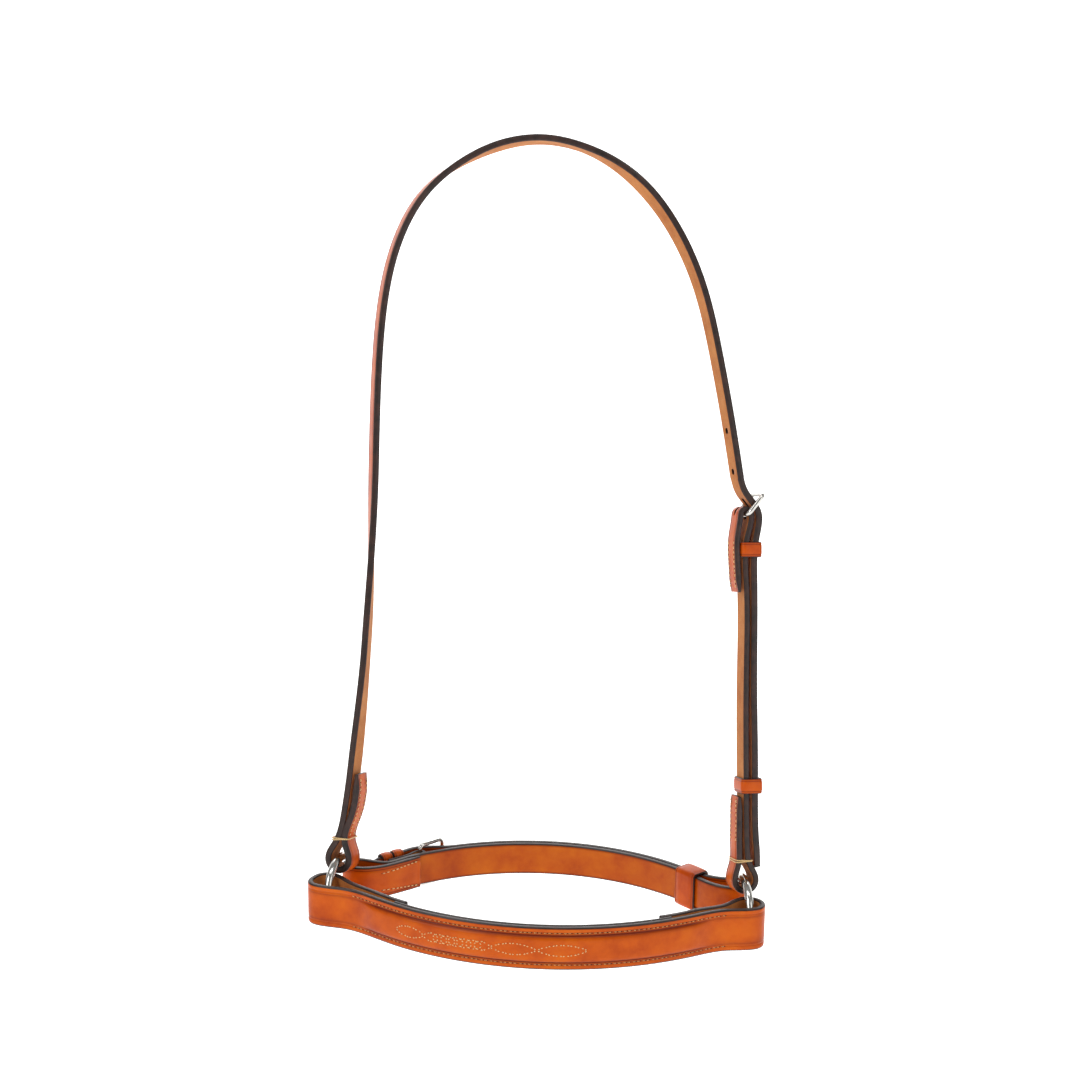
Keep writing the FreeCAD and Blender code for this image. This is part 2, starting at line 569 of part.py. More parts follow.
def tongue(label, length, place):
    """A tongue: an eye rolled round the bar and a finger that rests on the frame's far end."""
    inner = size("buckle_wire") / 2 + 0.06
    finger = size("tongue_wire") / 2
    outer = inner + 1.0
    eye = Part.makeCylinder(outer, 2 * finger, Vector(0, finger, 0), Vector(0, -1, 0))
    lift = size("buckle_wire") / 2 + finger + 0.15
    low = Vector(outer * 0.55, 0, outer * 0.62)
    line = Part.BSplineCurve()
    line.interpolate([low, Vector(length * 0.34, 0, lift * 0.92), Vector(length * 0.7, 0, lift),
                      Vector(length + 1.6, 0, lift)])
    start = Part.Wire([Part.makeCircle(finger * 0.98, low, line.tangent(line.FirstParameter)[0])])
    rod = Part.Wire([line.toShape()]).makePipeShell([start], True, True)
    solid = eye.fuse(rod).cut(Part.makeCylinder(inner, 12, Vector(0, 6, 0), Vector(0, -1, 0)))
    obj = doc.addObject("Part::Feature", label)
    obj.Shape = solid.removeSplitter()
    obj.Placement = place
    return keep(obj, label)


cheek_reach = size("cheek_buckle_reach")
lean = 51.4                                   # the frame's climb from the bar, degrees
cheek_place = cheek_side.multiply(FreeCAD.Placement(
    Vector(buckle_bar[0], 0, buckle_bar[1]), FreeCAD.Rotation(Vector(0, 1, 0), -lean)))
cheek_wide = size("crown_width") + 2 * size("buckle_side_room") + size("buckle_wire")
outward = FreeCAD.Placement(Vector(0, 0, 0), FreeCAD.Rotation(Vector(1, 0, 0), 180))
wire_loop("cheek_buckle_frame", cheek_reach, cheek_wide, cheek_place)
tongue("cheek_buckle_tongue", cheek_reach, cheek_place.multiply(outward))

# the chin buckle lies in the nosepiece's own tilted frame, its bar along the strap's width
reach_angle = math.degrees(math.atan2(reach.y, reach.x))
on_edge = FreeCAD.Rotation(Vector(0, 0, 1), reach_angle) * FreeCAD.Rotation(Vector(1, 0, 0), -90)
chin_place = nose_frame.multiply(FreeCAD.Placement(Vector(bar_spot[0], bar_spot[1], 0), on_edge))
chin_wide = size("chin_width") + 2 * size("buckle_side_room") + size("buckle_wire")
wire_loop("chin_buckle_frame", reach.Length, chin_wide, chin_place)
tongue("chin_buckle_tongue", reach.Length, chin_place)

# ---------------------------------------------------------------- check and write
doc.recompute()
for obj in doc.Objects:
    if "Invalid" in obj.State or "Error" in obj.State:
        raise RuntimeError("%s failed: %s" % (obj.Label, obj.State))
for obj in parts:
    if obj.Shape.isNull() or not obj.Shape.isValid():
        raise RuntimeError("%s has no valid shape" % obj.Label)
os.makedirs("parts", exist_ok=True)
for obj in parts:
    obj.Shape.exportStep("parts/%s.step" % obj.Label)
    box = obj.Shape.BoundBox
    print("%-28s solids %d volume %8.0f  z %.1f..%.1f" % (
        obj.Label, len(obj.Shape.Solids), obj.Shape.Volume, box.ZMin, box.ZMax))
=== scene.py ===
# %% [markdown]
# # A side-ring noseband in stitched bridle leather
# A bitless headpiece: one long crown strap hangs over the poll and buckles to a short cheek
# strap, and a raised, fancy-stitched nosepiece and a doubled chin strap meet at two side rings.
# The solids come from the CAD model. Here each strap is built again as real leather: rounded,
# dyed edges, a waxed grain side, a bare flesh side, and every stitch as its own bit of thread.

# %% Load the frame
import json
import math

import bmesh
import bpy
import numpy as np
from mathutils import Matrix, Vector

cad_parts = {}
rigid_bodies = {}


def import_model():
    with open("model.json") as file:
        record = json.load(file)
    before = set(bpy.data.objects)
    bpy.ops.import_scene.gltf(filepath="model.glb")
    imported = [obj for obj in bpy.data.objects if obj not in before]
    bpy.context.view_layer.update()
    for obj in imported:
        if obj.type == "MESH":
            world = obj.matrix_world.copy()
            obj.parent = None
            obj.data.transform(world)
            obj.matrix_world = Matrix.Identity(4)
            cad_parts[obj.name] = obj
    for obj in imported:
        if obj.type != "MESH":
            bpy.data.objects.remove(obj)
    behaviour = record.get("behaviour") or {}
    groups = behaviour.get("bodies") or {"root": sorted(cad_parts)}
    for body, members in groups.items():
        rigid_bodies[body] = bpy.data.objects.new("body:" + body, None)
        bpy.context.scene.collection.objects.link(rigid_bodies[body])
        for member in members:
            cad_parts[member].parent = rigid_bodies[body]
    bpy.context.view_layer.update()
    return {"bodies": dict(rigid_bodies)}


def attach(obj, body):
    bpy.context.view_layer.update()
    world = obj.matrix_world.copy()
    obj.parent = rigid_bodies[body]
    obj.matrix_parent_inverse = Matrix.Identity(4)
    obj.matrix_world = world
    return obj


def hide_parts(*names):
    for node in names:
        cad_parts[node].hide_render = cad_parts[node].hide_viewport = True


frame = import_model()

bodies = frame["bodies"]
print("bodies:", ", ".join(sorted(bodies)))

# %% [markdown]
# ## The camera
# The product stands a little over a metre away and is turned about six degrees, and the eye is
# level with the middle of the headpiece. A 59 mm lens on a 36 mm sensor gives that view. The
# camera comes first, because how large each detail shows decides how finely it is built.

# %% Camera
view = bpy.data.cameras.new("camera")
view.lens = 59.0
view.sensor_width = 36.0
view.clip_end = 20.0
camera = bpy.data.objects.new("camera", view)
bpy.context.scene.collection.objects.link(camera)
camera.location = (0.1106, -1.052, -0.2374)
camera.rotation_euler = (math.radians(90), 0, math.radians(6))
bpy.context.scene.camera = camera
print("camera is", round(camera.location.length, 3), "m from the crown's top")

# %% [markdown]
# ## Colours and nodes
# A colour picked on a screen is sRGB, and the renderer adds light in linear values, so one
# function turns a hex colour into linear. Another adds one shader node with its settings and
# its links, which keeps each material readable as a short recipe.


# %% Colour and node helpers
def linear(code):
    """A hex sRGB colour as the linear RGBA that shaders use."""
    parts = [int(code[i:i + 2], 16) / 255 for i in (1, 3, 5)]
    bent = [c / 12.92 if c <= 0.04045 else ((c + 0.055) / 1.055) ** 2.4 for c in parts]
    return (*bent, 1.0)


def add(tree, kind, values=None, links=None, **settings):
    """Adds one shader node: socket values, links into its sockets, and its own settings."""
    node = tree.nodes.new(kind)
    for name, value in settings.items():
        setattr(node, name, value)
    for socket, value in (values or {}).items():
        node.inputs[socket].default_value = value
    for socket, source in (links or {}).items():
        tree.links.new(source, node.inputs[socket])
    return node


def blank(name):
    """A new material with only its output node."""
    material = bpy.data.materials.new(name)
    material.use_nodes = True
    material.node_tree.nodes.clear()
    return material, material.node_tree


def two_tones(tree, pattern, light, dark, low=0.0, high=1.0):
    """Turns a pattern's 0 to 1 into a drift from the dark tone to the light one."""
    tone = add(tree, "ShaderNodeValToRGB", {}, {"Fac": pattern.outputs["Fac"]})
    for element, place, colour in zip(tone.color_ramp.elements, (low, high), (dark, light)):
        element.position, element.color = place, linear(colour)
    return tone


# %% [markdown]
# ## Bridle leather, grain side
# Bridle leather is vegetable-tanned cow hide, drum-dyed London tan and stuffed with wax and
# tallow. The wax gives a soft, slightly sharp gloss over a warm orange brown that drifts from
# lighter to darker every few centimetres. Its pores are about half a millimetre apart, too fine
# to show here, so the grain is drawn about three times as coarse and very shallow. Each mesh
# carries a value called stain_and_shade that turns the grain a dark red brown: at the edges it
# is the real stain creeping over the corner, and in creases, valleys and seam grooves it is
# painted shade.


# %% Grain leather
def grain_leather(name, light, mid, dark, stain_and_shade_colour, roughness):
    """Waxed, drum-dyed leather: mottled colour, edge stain and painted shade in the creases, fine pores."""
    material, tree = blank(name)
    where = add(tree, "ShaderNodeTexCoord").outputs["Object"]
    clouds = add(tree, "ShaderNodeTexNoise", {"Scale": 38.0, "Detail": 5.0, "Roughness": 0.62},
                 {"Vector": where})
    tone = two_tones(tree, clouds, light, dark, 0.32, 0.72)
    tone.color_ramp.elements.new(0.5).color = linear(mid)
    pores = add(tree, "ShaderNodeTexVoronoi", {"Scale": 1 / 0.0016, "Randomness": 1.0}, {"Vector": where})
    # stain_and_shade: the real edge stain near the corners, and painted shade in creases, valleys and seam
    # grooves
    stain_and_shade = add(tree, "ShaderNodeAttribute", attribute_name="stain_and_shade")
    stained_and_shaded = add(tree, "ShaderNodeMix", {"B": linear(stain_and_shade_colour)},
               {"Factor": stain_and_shade.outputs["Fac"], "A": tone.outputs["Color"]}, data_type="RGBA")
    # wax lies unevenly: gloss drifts over about a centimetre
    wax = add(tree, "ShaderNodeTexNoise", {"Scale": 110.0, "Detail": 3.0}, {"Vector": where})
    rough = add(tree, "ShaderNodeMapRange", {"To Min": roughness - 0.07, "To Max": roughness + 0.09},
                {"Value": wax.outputs["Fac"]})
    creases = add(tree, "ShaderNodeTexNoise", {"Scale": 420.0, "Detail": 4.0}, {"Vector": where})
    fine = add(tree, "ShaderNodeBump", {"Strength": 0.16, "Distance": 0.00012},
               {"Height": pores.outputs["Distance"]})
    bump = add(tree, "ShaderNodeBump", {"Strength": 0.3, "Distance": 0.0002},
               {"Height": creases.outputs["Fac"], "Normal": fine.outputs["Normal"]})
    leather = add(tree, "ShaderNodeBsdfPrincipled",
                  {"IOR": 1.5, "Specular IOR Level": 0.12, "Coat Weight": 0.08,
                   "Coat Roughness": 0.12, "Coat IOR": 1.45},
                  {"Base Color": stained_and_shaded.outputs["Result"], "Roughness": rough.outputs["Result"],
                   "Normal": bump.outputs["Normal"]})
    add(tree, "ShaderNodeOutputMaterial", {}, {"Surface": leather.outputs["BSDF"]})
    return material


def bare_leather(name, light, dark, dust, roughness):
    """Undyed or brushed flesh side: dry fibres, no gloss, soft colour drift."""
    material, tree = blank(name)
    where = add(tree, "ShaderNodeTexCoord").outputs["Object"]
    clouds = add(tree, "ShaderNodeTexNoise", {"Scale": 60.0, "Detail": 6.0, "Roughness": 0.7},
                 {"Vector": where})
    tone = two_tones(tree, clouds, light, dark, 0.34, 0.68)
    # bundles of fibre about a third of a millimetre thick, drawn at twice that
    fibres = add(tree, "ShaderNodeTexNoise", {"Scale": 1 / 0.0007, "Detail": 2.0, "Roughness": 0.8},
                 {"Vector": where})
    share = add(tree, "ShaderNodeMapRange", {"From Min": 0.45, "From Max": 0.8, "To Max": 0.4},
                {"Value": fibres.outputs["Fac"]})
    nap = add(tree, "ShaderNodeMix", {"B": linear(dust)},
              {"Factor": share.outputs["Result"], "A": tone.outputs["Color"]}, data_type="RGBA")
    bump = add(tree, "ShaderNodeBump", {"Strength": 0.35, "Distance": 0.0002},
               {"Height": fibres.outputs["Fac"]})
    leather = add(tree, "ShaderNodeBsdfPrincipled",
                  {"IOR": 1.48, "Specular IOR Level": 0.2, "Roughness": roughness, "Sheen Weight": 0.04},
                  {"Base Color": nap.outputs["Result"], "Normal": bump.outputs["Normal"]})
    add(tree, "ShaderNodeOutputMaterial", {}, {"Surface": leather.outputs["BSDF"]})
    return material


# the fourth colour is the dark red brown of the edge stain and of the painted shade in creases and valleys
tan_grain = grain_leather("london_tan_bridle_leather_waxed", "#ca6004", "#bc4f02", "#a53d01", "#641a02", 0.34)
dressed_inside = grain_leather("london_tan_dressed_inside_waxed",
                               "#c06004", "#b04c02", "#983801", "#5a1802", 0.32)
keeper_grain = grain_leather("london_tan_keeper_leather_waxed",
                             "#c85a0e", "#b94a08", "#a23904", "#6a2004", 0.3)
flesh_side = bare_leather("bridle_leather_flesh_side_brushed", "#b8763c", "#a05a24", "#c48d58", 0.72)
lining_flesh = bare_leather("lining_leather_undyed_brushed", "#c08650", "#a86a38", "#cb9a6a", 0.78)
print("leathers:", tan_grain.name, flesh_side.name)

# %% [markdown]
# ## Dyed edges, thread, nickel
# A saddler rounds a strap's edges, stains them dark brown and rubs them with gum or wax until
# they shine, and a trace of the stain creeps over the corner. Linen thread is three plies
# twisted together and pulled through beeswax, so it is cream, a little rough, and its plies show
# as slanting ridges about half a millimetre apart. Rings and buckles are steel, nickel-plated
# and polished on a mop: a metal with a faintly warm grey and very fine scratches.


# %% Edge, thread and metal
def stained_edge(name, light, dark, roughness):
    """Stained, burnished leather edge: fibre layers run along it as faint lines."""
    material, tree = blank(name)
    where = add(tree, "ShaderNodeTexCoord").outputs["Object"]
    clouds = add(tree, "ShaderNodeTexNoise", {"Scale": 150.0, "Detail": 6.0, "Roughness": 0.7},
                 {"Vector": where})
    tone = two_tones(tree, clouds, light, dark, 0.35, 0.7)
    bump = add(tree, "ShaderNodeBump", {"Strength": 0.3, "Distance": 0.00025},
               {"Height": clouds.outputs["Fac"]})
    rough = add(tree, "ShaderNodeMapRange", {"To Min": roughness - 0.08, "To Max": roughness + 0.12},
                {"Value": clouds.outputs["Fac"]})
    edge = add(tree, "ShaderNodeBsdfPrincipled",
               {"IOR": 1.5, "Specular IOR Level": 0.35, "Coat Weight": 0.12, "Coat Roughness": 0.25},
               {"Base Color": tone.outputs["Color"], "Roughness": rough.outputs["Result"],
                "Normal": bump.outputs["Normal"]})
    add(tree, "ShaderNodeOutputMaterial", {}, {"Surface": edge.outputs["BSDF"]})
    return material


def waxed_thread(name, light, dark):
    """Three-ply linen thread: slanting plies as bump, with painted shade darkening the grooves between them.
    """
    material, tree = blank(name)
    where = add(tree, "ShaderNodeTexCoord").outputs["Object"]
    plies = add(tree, "ShaderNodeTexWave", {"Scale": 1 / 0.0018, "Distortion": 1.2, "Detail": 1.0},
                {"Vector": where}, bands_direction="DIAGONAL")
    # the dark tone lies where the bump sinks: painted shade in the ply grooves
    tone = two_tones(tree, plies, light, dark)
    bump = add(tree, "ShaderNodeBump", {"Strength": 0.5, "Distance": 0.0001},
               {"Height": plies.outputs["Fac"]})
    thread = add(tree, "ShaderNodeBsdfPrincipled", {"IOR": 1.53, "Roughness": 0.6, "Sheen Weight": 0.2},
                 {"Base Color": tone.outputs["Color"], "Normal": bump.outputs["Normal"]})
    add(tree, "ShaderNodeOutputMaterial", {}, {"Surface": thread.outputs["BSDF"]})
    return material


def nickel_plate(name, light, dark, roughness):
    """Polished nickel: a warm grey metal whose gloss is broken by fine mop scratches."""
    material, tree = blank(name)
    where = add(tree, "ShaderNodeTexCoord").outputs["Object"]
    haze = add(tree, "ShaderNodeTexNoise", {"Scale": 260.0, "Detail": 5.0}, {"Vector": where})
    tone = two_tones(tree, haze, light, dark)
    rough = add(tree, "ShaderNodeMapRange", {"To Min": roughness - 0.05, "To Max": roughness + 0.08},
                {"Value": haze.outputs["Fac"]})
    scratches = add(tree, "ShaderNodeTexNoise", {"Scale": 1500.0, "Detail": 2.0}, {"Vector": where})
    bump = add(tree, "ShaderNodeBump", {"Strength": 0.05, "Distance": 0.00005},
               {"Height": scratches.outputs["Fac"]})
    metal = add(tree, "ShaderNodeBsdfPrincipled", {"Metallic": 1.0},
                {"Base Color": tone.outputs["Color"], "Roughness": rough.outputs["Result"],
                 "Normal": bump.outputs["Normal"]})
    add(tree, "ShaderNodeOutputMaterial", {}, {"Surface": metal.outputs["BSDF"]})
    return material


dark_edge = stained_edge("stained_edge_dark_brown_burnished", "#3a2119", "#160b07", 0.42)
# painted shade: the dark dish that stands for the shade inside each awl hole
awl_hole_shade = stained_edge("awl_hole_shadowed_leather", "#3a1608", "#1c0a04", 0.8)
# the second colour of each thread is its painted shade between the plies
cream_thread = waxed_thread("linen_thread_waxed_cream", "#e6cb8f", "#b98a4e")
seam_thread = waxed_thread("linen_thread_waxed_tan", "#cf9a52", "#8f5422")
bright_nickel = nickel_plate("nickel_plate_mop_polished", "#d8d6d0", "#b9b7b2", 0.14)
print("edge, thread and metal:", dark_edge.name, cream_thread.name, bright_nickel.name)

# %% [markdown]
# ## Sizes and places
# These are the CAD model's own sizes, in millimetres, because a strap's line is drawn from them.
# The nosepiece and the chin strap are drawn flat in a frame of their own, at the rings' centres,
# which is tipped twelve degrees so that the front hangs lower, and rolled a little because the
# left ring hangs 8 mm higher. The headpiece's buckle side is turned twenty degrees about the
# upright through its ring, and its other side thirteen the other way.

# %% Sizes
RING_RADIUS, RING_WIRE, RING_GAP, RING_DROP, RING_SPLAY = 20.0, 5.0, 120.0, 456.5, 13.0
CROWN_WIDTH, CROWN_THICK, CHEEK_THICK, CHEEK_TURN = 13.0, 4.0, 3.4, 20.0
NOSE_WIDTH, NOSE_RADIUS, NOSE_DEPTH, FACE_THICK, LINING_THICK = 25.4, 169.0, 67.0, 3.2, 2.3
RIDGE_HIGH, SEAM_ACROSS, TILT, LEFT_RISE, LEFT_REACH, NECK_HIGH = 2.0, 9.5, 12.0, 8.0, 4.0, 9.5
CHIN_WIDTH, CHIN_THICK, CHIN_RADIUS, CHIN_DEPTH, LAYER_GAP = 20.0, 3.2, 127.0, 63.0, 0.4
CHAPE_THICK, CHAPE_WIDTH, BUCKLE_WIRE, TONGUE_WIRE = 1.8, 18.0, 2.8, 2.2
CROWN_LOOP_HOLE, NOSE_LOOP_HOLE, CHIN_LOOP_HOLE, CROWN_TWIST = 4.8, 6.3, 4.9, 24.0
HOLE_SIZE, HOLE_SPACING, SLOT_WIDE, CHEEK_REACH = 3.6, 24.0, 3.0, 15.4
KEEPER_INSIDE = 13.7                          # a 13 mm strap and its play
BUCKLE_ROOM = 3.2                             # a buckle's inside is this much wider than its strap
MM = 0.001

splay = math.radians(RING_SPLAY)
nose_centre = NOSE_RADIUS - NOSE_DEPTH
chin_centre = CHIN_DEPTH - CHIN_RADIUS
nose_loop = (123.6, -16.6)
chin_loop = (115.8, 18.0)
top_loop = (RING_GAP, -RING_DROP + RING_RADIUS - 0.7)
left_loop = (-top_loop[0], top_loop[1] + LEFT_RISE)
neck, left_neck = top_loop[1] + NECK_HIGH, left_loop[1] + NECK_HIGH
cheek_mid = RING_GAP + 0.5
tail_mid = cheek_mid + CHEEK_THICK / 2 + CROWN_THICK / 2 + 0.7
buckle_bar = (RING_GAP + 0.4, -0.4874 * RING_DROP)
upper_keeper, lower_keeper = buckle_bar[1] - 20.5, -RING_DROP + 74.5
roll = math.atan(LEFT_RISE / (2 * RING_GAP))
nose_frame = (Matrix.Translation((0, 0, (LEFT_RISE / 2 - RING_DROP) * MM)) @ Matrix.Rotation(roll, 4, "Y")
              @ Matrix.Rotation(math.radians(TILT), 4, "X"))


def turned(side, degrees):
    """Turns about the upright through one side's ring."""
    pivot = Matrix.Translation((side * RING_GAP * MM, 0, 0))
    return pivot @ Matrix.Rotation(math.radians(degrees), 4, "Z") @ pivot.inverted()


cheek_side, left_side = turned(1, CHEEK_TURN), turned(-1, -RING_SPLAY)
print("nosepiece radius", NOSE_RADIUS, "mm; rings", 2 * RING_GAP, "mm apart")


# %% [markdown]
# ## Lines that straps follow
# A strap is stiff along its width and bends like a strip of spring, so its side view is one
# smooth line. A cubic spline through a few places gives that line. The straps turn back round
# the ring wires in tight loops, so those places are given as arcs.


# %% Lines
def arc_round(centre, radius, start, end, count):
    """Places on an arc, angles in degrees from the first axis."""
    turns = np.radians(np.linspace(start, end, count))
    return [(centre[0] + radius * math.cos(a), centre[1] + radius * math.sin(a)) for a in turns]


def nose_arc(radius, degrees):
    """A place on the nosepiece's curve; 0 degrees is the front."""
    a = math.radians(degrees)
    return (radius * math.sin(a), nose_centre - radius * math.cos(a))


def chin_arc(radius, degrees):
    """A place on the chin strap's curve; 0 degrees is the back."""
    a = math.radians(degrees)
    return (radius * math.sin(a), chin_centre + radius * math.cos(a))


def mirrored(points):
    return [(-x, y) for x, y in reversed(points)]


def smooth_line(points, step=0.9):
    """A cubic spline through places: samples about `step` mm apart, directions, distances."""
    spots = np.array(points, float)
    gaps = np.linalg.norm(np.diff(spots, axis=0), axis=1)
    knots = np.concatenate([[0], np.cumsum(gaps)])
    last = len(spots) - 1
    system, pull = np.eye(last + 1), np.zeros_like(spots)
    for i in range(1, last):
        system[i, i - 1:i + 2] = gaps[i - 1], 2 * (gaps[i - 1] + gaps[i]), gaps[i]
        pull[i] = 6 * ((spots[i + 1] - spots[i]) / gaps[i] - (spots[i] - spots[i - 1]) / gaps[i - 1])
    bend = np.linalg.solve(system, pull)
    t = np.linspace(0, knots[-1], int(knots[-1] / step) + 1)
    i = np.clip(np.searchsorted(knots, t, side="right") - 1, 0, last - 1)
    g, a, b = gaps[i][:, None], (knots[i + 1] - t)[:, None], (t - knots[i])[:, None]
    place = (bend[i] * a ** 3 + bend[i + 1] * b ** 3) / (6 * g)
    place = place + (spots[i] / g - bend[i] * g / 6) * a + (spots[i + 1] / g - bend[i + 1] * g / 6) * b
    along = np.gradient(place, axis=0)
    along /= np.linalg.norm(along, axis=1)[:, None]
    walked = np.concatenate([[0], np.cumsum(np.linalg.norm(np.diff(place, axis=0), axis=1))])
    return place, along, walked


def ease(value):
    """0 to 1 with a soft start and end."""
    value = min(max(value, 0.0), 1.0)
    return value * value * (3 - 2 * value)


# %% [markdown]
# ## Stations: a strap's own directions
# At each place on its line a strap has a middle, a direction along, one out of its face and one
# across its width. The headpiece's crown strap is also twisted: its outside shows at the left,
# and its inside at the right, so its directions are turned gradually along the line. The
# nosepiece and chin strap only need their tipped frame.


# %% Stations
def headpiece_stations(points, twisted=True):
    """Middle, along, out, across and distance on the crown or cheek strap, in metres."""
    stations = []
    for (x, z), (ax, az), s in zip(*smooth_line(points)):
        side = 1 if x > 0 else -1
        down, aside, twist = -z / RING_DROP, abs(x) / RING_GAP, 0.0
        if x > 0:
            angle = CHEEK_TURN * ease((down - 0.22) / 0.2)
        else:
            angle = -RING_SPLAY * ease((down - 0.66) / 0.15)
        if not twisted:
            angle = CHEEK_TURN
        elif x > 0 and down < 0.44:
            twist = angle - (CHEEK_TURN + 2.0) * ease((aside - 0.17) / 0.42)
        elif x <= 0:
            twist = CROWN_TWIST * ease((aside - 0.17) / 0.5) * (1 - ease((down - 0.42) / 0.24))
        turn = Matrix.Rotation(math.radians(angle), 3, "Z")
        pivot = Vector((side * RING_GAP, 0, 0))
        middle = (pivot + turn @ (Vector((x, 0, z)) - pivot)) * MM
        ahead = turn @ Vector((ax, 0, az))
        own = Matrix.Rotation(math.radians(twist), 3, ahead)
        out, across = own @ turn @ Vector((-az, 0, ax)), own @ turn @ Vector((0, 1, 0))
        stations.append((middle, ahead, out, across, s * MM))
    return stations


def band_stations(points, flip=1, step=0.9):
    """The same for a strap drawn flat in the nosepiece's tipped frame; flip turns its outside."""
    turn = nose_frame.to_3x3()
    stations = []
    for (x, y), (ax, ay), s in zip(*smooth_line(points, step)):
        stations.append((nose_frame @ Vector((x * MM, y * MM, 0)), turn @ Vector((ax, ay, 0)),
                         turn @ Vector((-ay, ax, 0)) * flip, turn @ Vector((0, 0, 1)), s * MM))
    return stations


# %% [markdown]
# ## Straps as swept sections
# A strap could be a plane with thickness added, but then its edges would be square. Instead a
# section is drawn once and carried along the stations: flat faces, a pressed crease line near
# each edge on the grain side, and a rounded, rubbed edge. Each strip of faces takes the finish
# of its own part of the section: grain, flesh or stained edge.

# %% Strap section and sweep
GRAIN, FLESH, EDGE = 0, 1, 2


def strap_section(width, thick, crease=2.0, groove=0.14, roundness=0.75):
    """(across, out, finish, stain_and_shade) right round a strap; finish is that of the strip that follows.
    """
    w, h, r = width / 2, thick / 2, roundness
    # the crease groove is darkened with painted shade; the corners carry the real stain that creeps over the
    # edge
    right = [(w - crease - 2.2, h, GRAIN, 0.0), (w - crease - 0.4, h, GRAIN, 0.25),
             (w - crease, h - groove, GRAIN, 1.0), (w - crease + 0.4, h, GRAIN, 0.35),
             (w - r, h, EDGE, 0.6), (w - 0.3 * r, h - 0.25 * r, EDGE, 1.0), (w, h - r, EDGE, 1.0),
             (w, r - h, EDGE, 1.0), (w - 0.3 * r, 0.25 * r - h, EDGE, 1.0), (w - r, -h, FLESH, 0.7),
             (w - crease, -h, FLESH, 0.0)]
    left = [(-u, v, right[max(i - 1, 0)][2], d) for i, (u, v, _, d) in enumerate(right)][::-1]
    return [(0.0, h, GRAIN, 0.0)] + right + [(0.0, -h, FLESH, 0.0)] + left


def build(name, corners, faces, finishes, materials, stain_and_shade=None):
    """A smooth-shaded mesh object from plain lists."""
    mesh = bpy.data.meshes.new(name)
    mesh.from_pydata(corners, [], faces)
    for material in materials:
        mesh.materials.append(material)
    mesh.polygons.foreach_set("material_index", finishes)
    mesh.polygons.foreach_set("use_smooth", [True] * len(faces))
    if stain_and_shade is not None:
        mesh.attributes.new("stain_and_shade", "FLOAT", "POINT").data.foreach_set("value", np.array(stain_and_shade, np.float32))
    shape = bmesh.new()
    shape.from_mesh(mesh)
    bmesh.ops.recalc_face_normals(shape, faces=shape.faces)
    shape.to_mesh(mesh)
    shape.free()
    piece = bpy.data.objects.new(name, mesh)
    bpy.context.scene.collection.objects.link(piece)
    return piece


def sweep(name, stations, section, materials, shape=None):
    """Carries a section along stations; shape(i) gives the shares of width and thickness there.

    A section that changes is given as a list with one section for each station.
    """
    sections = section if isinstance(section[0], list) else [section] * len(stations)
    ring, corners, stain_and_shade, faces, finishes = len(sections[0]), [], [], [], []
    for i, (middle, _, out, across, _) in enumerate(stations):
        wide, thick = shape(i) if shape else (1.0, 1.0)
        for u, v, _, d in sections[i]:
            corners.append(middle + across * (u * wide * MM) + out * (v * thick * MM))
            stain_and_shade.append(d)
    for i in range(len(stations) - 1):
        for k in range(ring):
            a, b = i * ring + k, i * ring + (k + 1) % ring
            faces.append((a, b, b + ring, a + ring))
            finishes.append(sections[i][k][2])
    last = (len(stations) - 1) * ring
    faces += [tuple(range(ring)), tuple(range(last + ring - 1, last - 1, -1))]
    finishes += [EDGE, EDGE]
    return build(name, corners, faces, finishes, materials, stain_and_shade)


def place_piece(piece, body, slot, *nodes):
    """Rides on its body and stands for its CAD nodes; its slot is not used."""
    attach(piece, body)
    if nodes:
        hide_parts(*nodes)
    print(piece.name, "faces", len(piece.data.polygons), "on", body)
    return piece


# %% [markdown]
# ## Punched holes
# Buckle holes are punched with a round steel punch, and the slot for a tongue is a long hole.
# A boolean with slim round cutters makes real holes that light passes through, and the cutter's
# own material gives the hole's dark wall.


# %% Hole cutting
def cut_out(piece, shapes):
    """Cuts shapes, each a list of corner rings, out of a piece."""
    corners, faces = [], []
    for low, high in shapes:
        start, count = len(corners), len(low)
        corners += low + high
        faces += [tuple(start + k for k in range(count))[::-1],
                  tuple(start + count + k for k in range(count))]
        faces += [(start + k, start + (k + 1) % count, start + count + (k + 1) % count, start + count + k)
                  for k in range(count)]
    cutter = build(piece.name + "_cutter", corners, faces, [0] * len(faces), [dark_edge],
                   [1.0] * len(corners))
    for face in cutter.data.polygons:
        face.use_smooth = False
    change = piece.modifiers.new("holes", "BOOLEAN")
    change.object, change.operation, change.solver = cutter, "DIFFERENCE", "EXACT"
    change.material_mode = "TRANSFER"
    evaluated = piece.evaluated_get(bpy.context.evaluated_depsgraph_get())
    cut_mesh = bpy.data.meshes.new_from_object(evaluated)
    piece.modifiers.clear()
    piece.data = cut_mesh
    bpy.data.objects.remove(cutter)


def punched(station, length, wide, depth=6.0):
    """A round or long hole at a station, as its two end outlines."""
    middle, ahead, out, across, _ = station
    half = max(length - wide, 0.0) / 2
    outline = []
    for k in range(20):
        a = 2 * math.pi * k / 20
        shift = half if math.cos(a) > 1e-9 else -half
        outline.append(middle + ahead * ((shift + wide / 2 * math.cos(a)) * MM)
                       + across * (wide / 2 * math.sin(a) * MM))
    return [p - out * (depth * MM) for p in outline], [p + out * (depth * MM) for p in outline]


def nearest(stations, spot):
    """The station nearest to a place in metres."""
    return min(range(len(stations)), key=lambda i: (stations[i][0] - Vector(spot)).length)


def walk(stations, start, distance):
    """The station a distance in mm further along."""
    goal = stations[start][4] + distance * MM
    return min(range(len(stations)), key=lambda i: abs(stations[i][4] - goal))
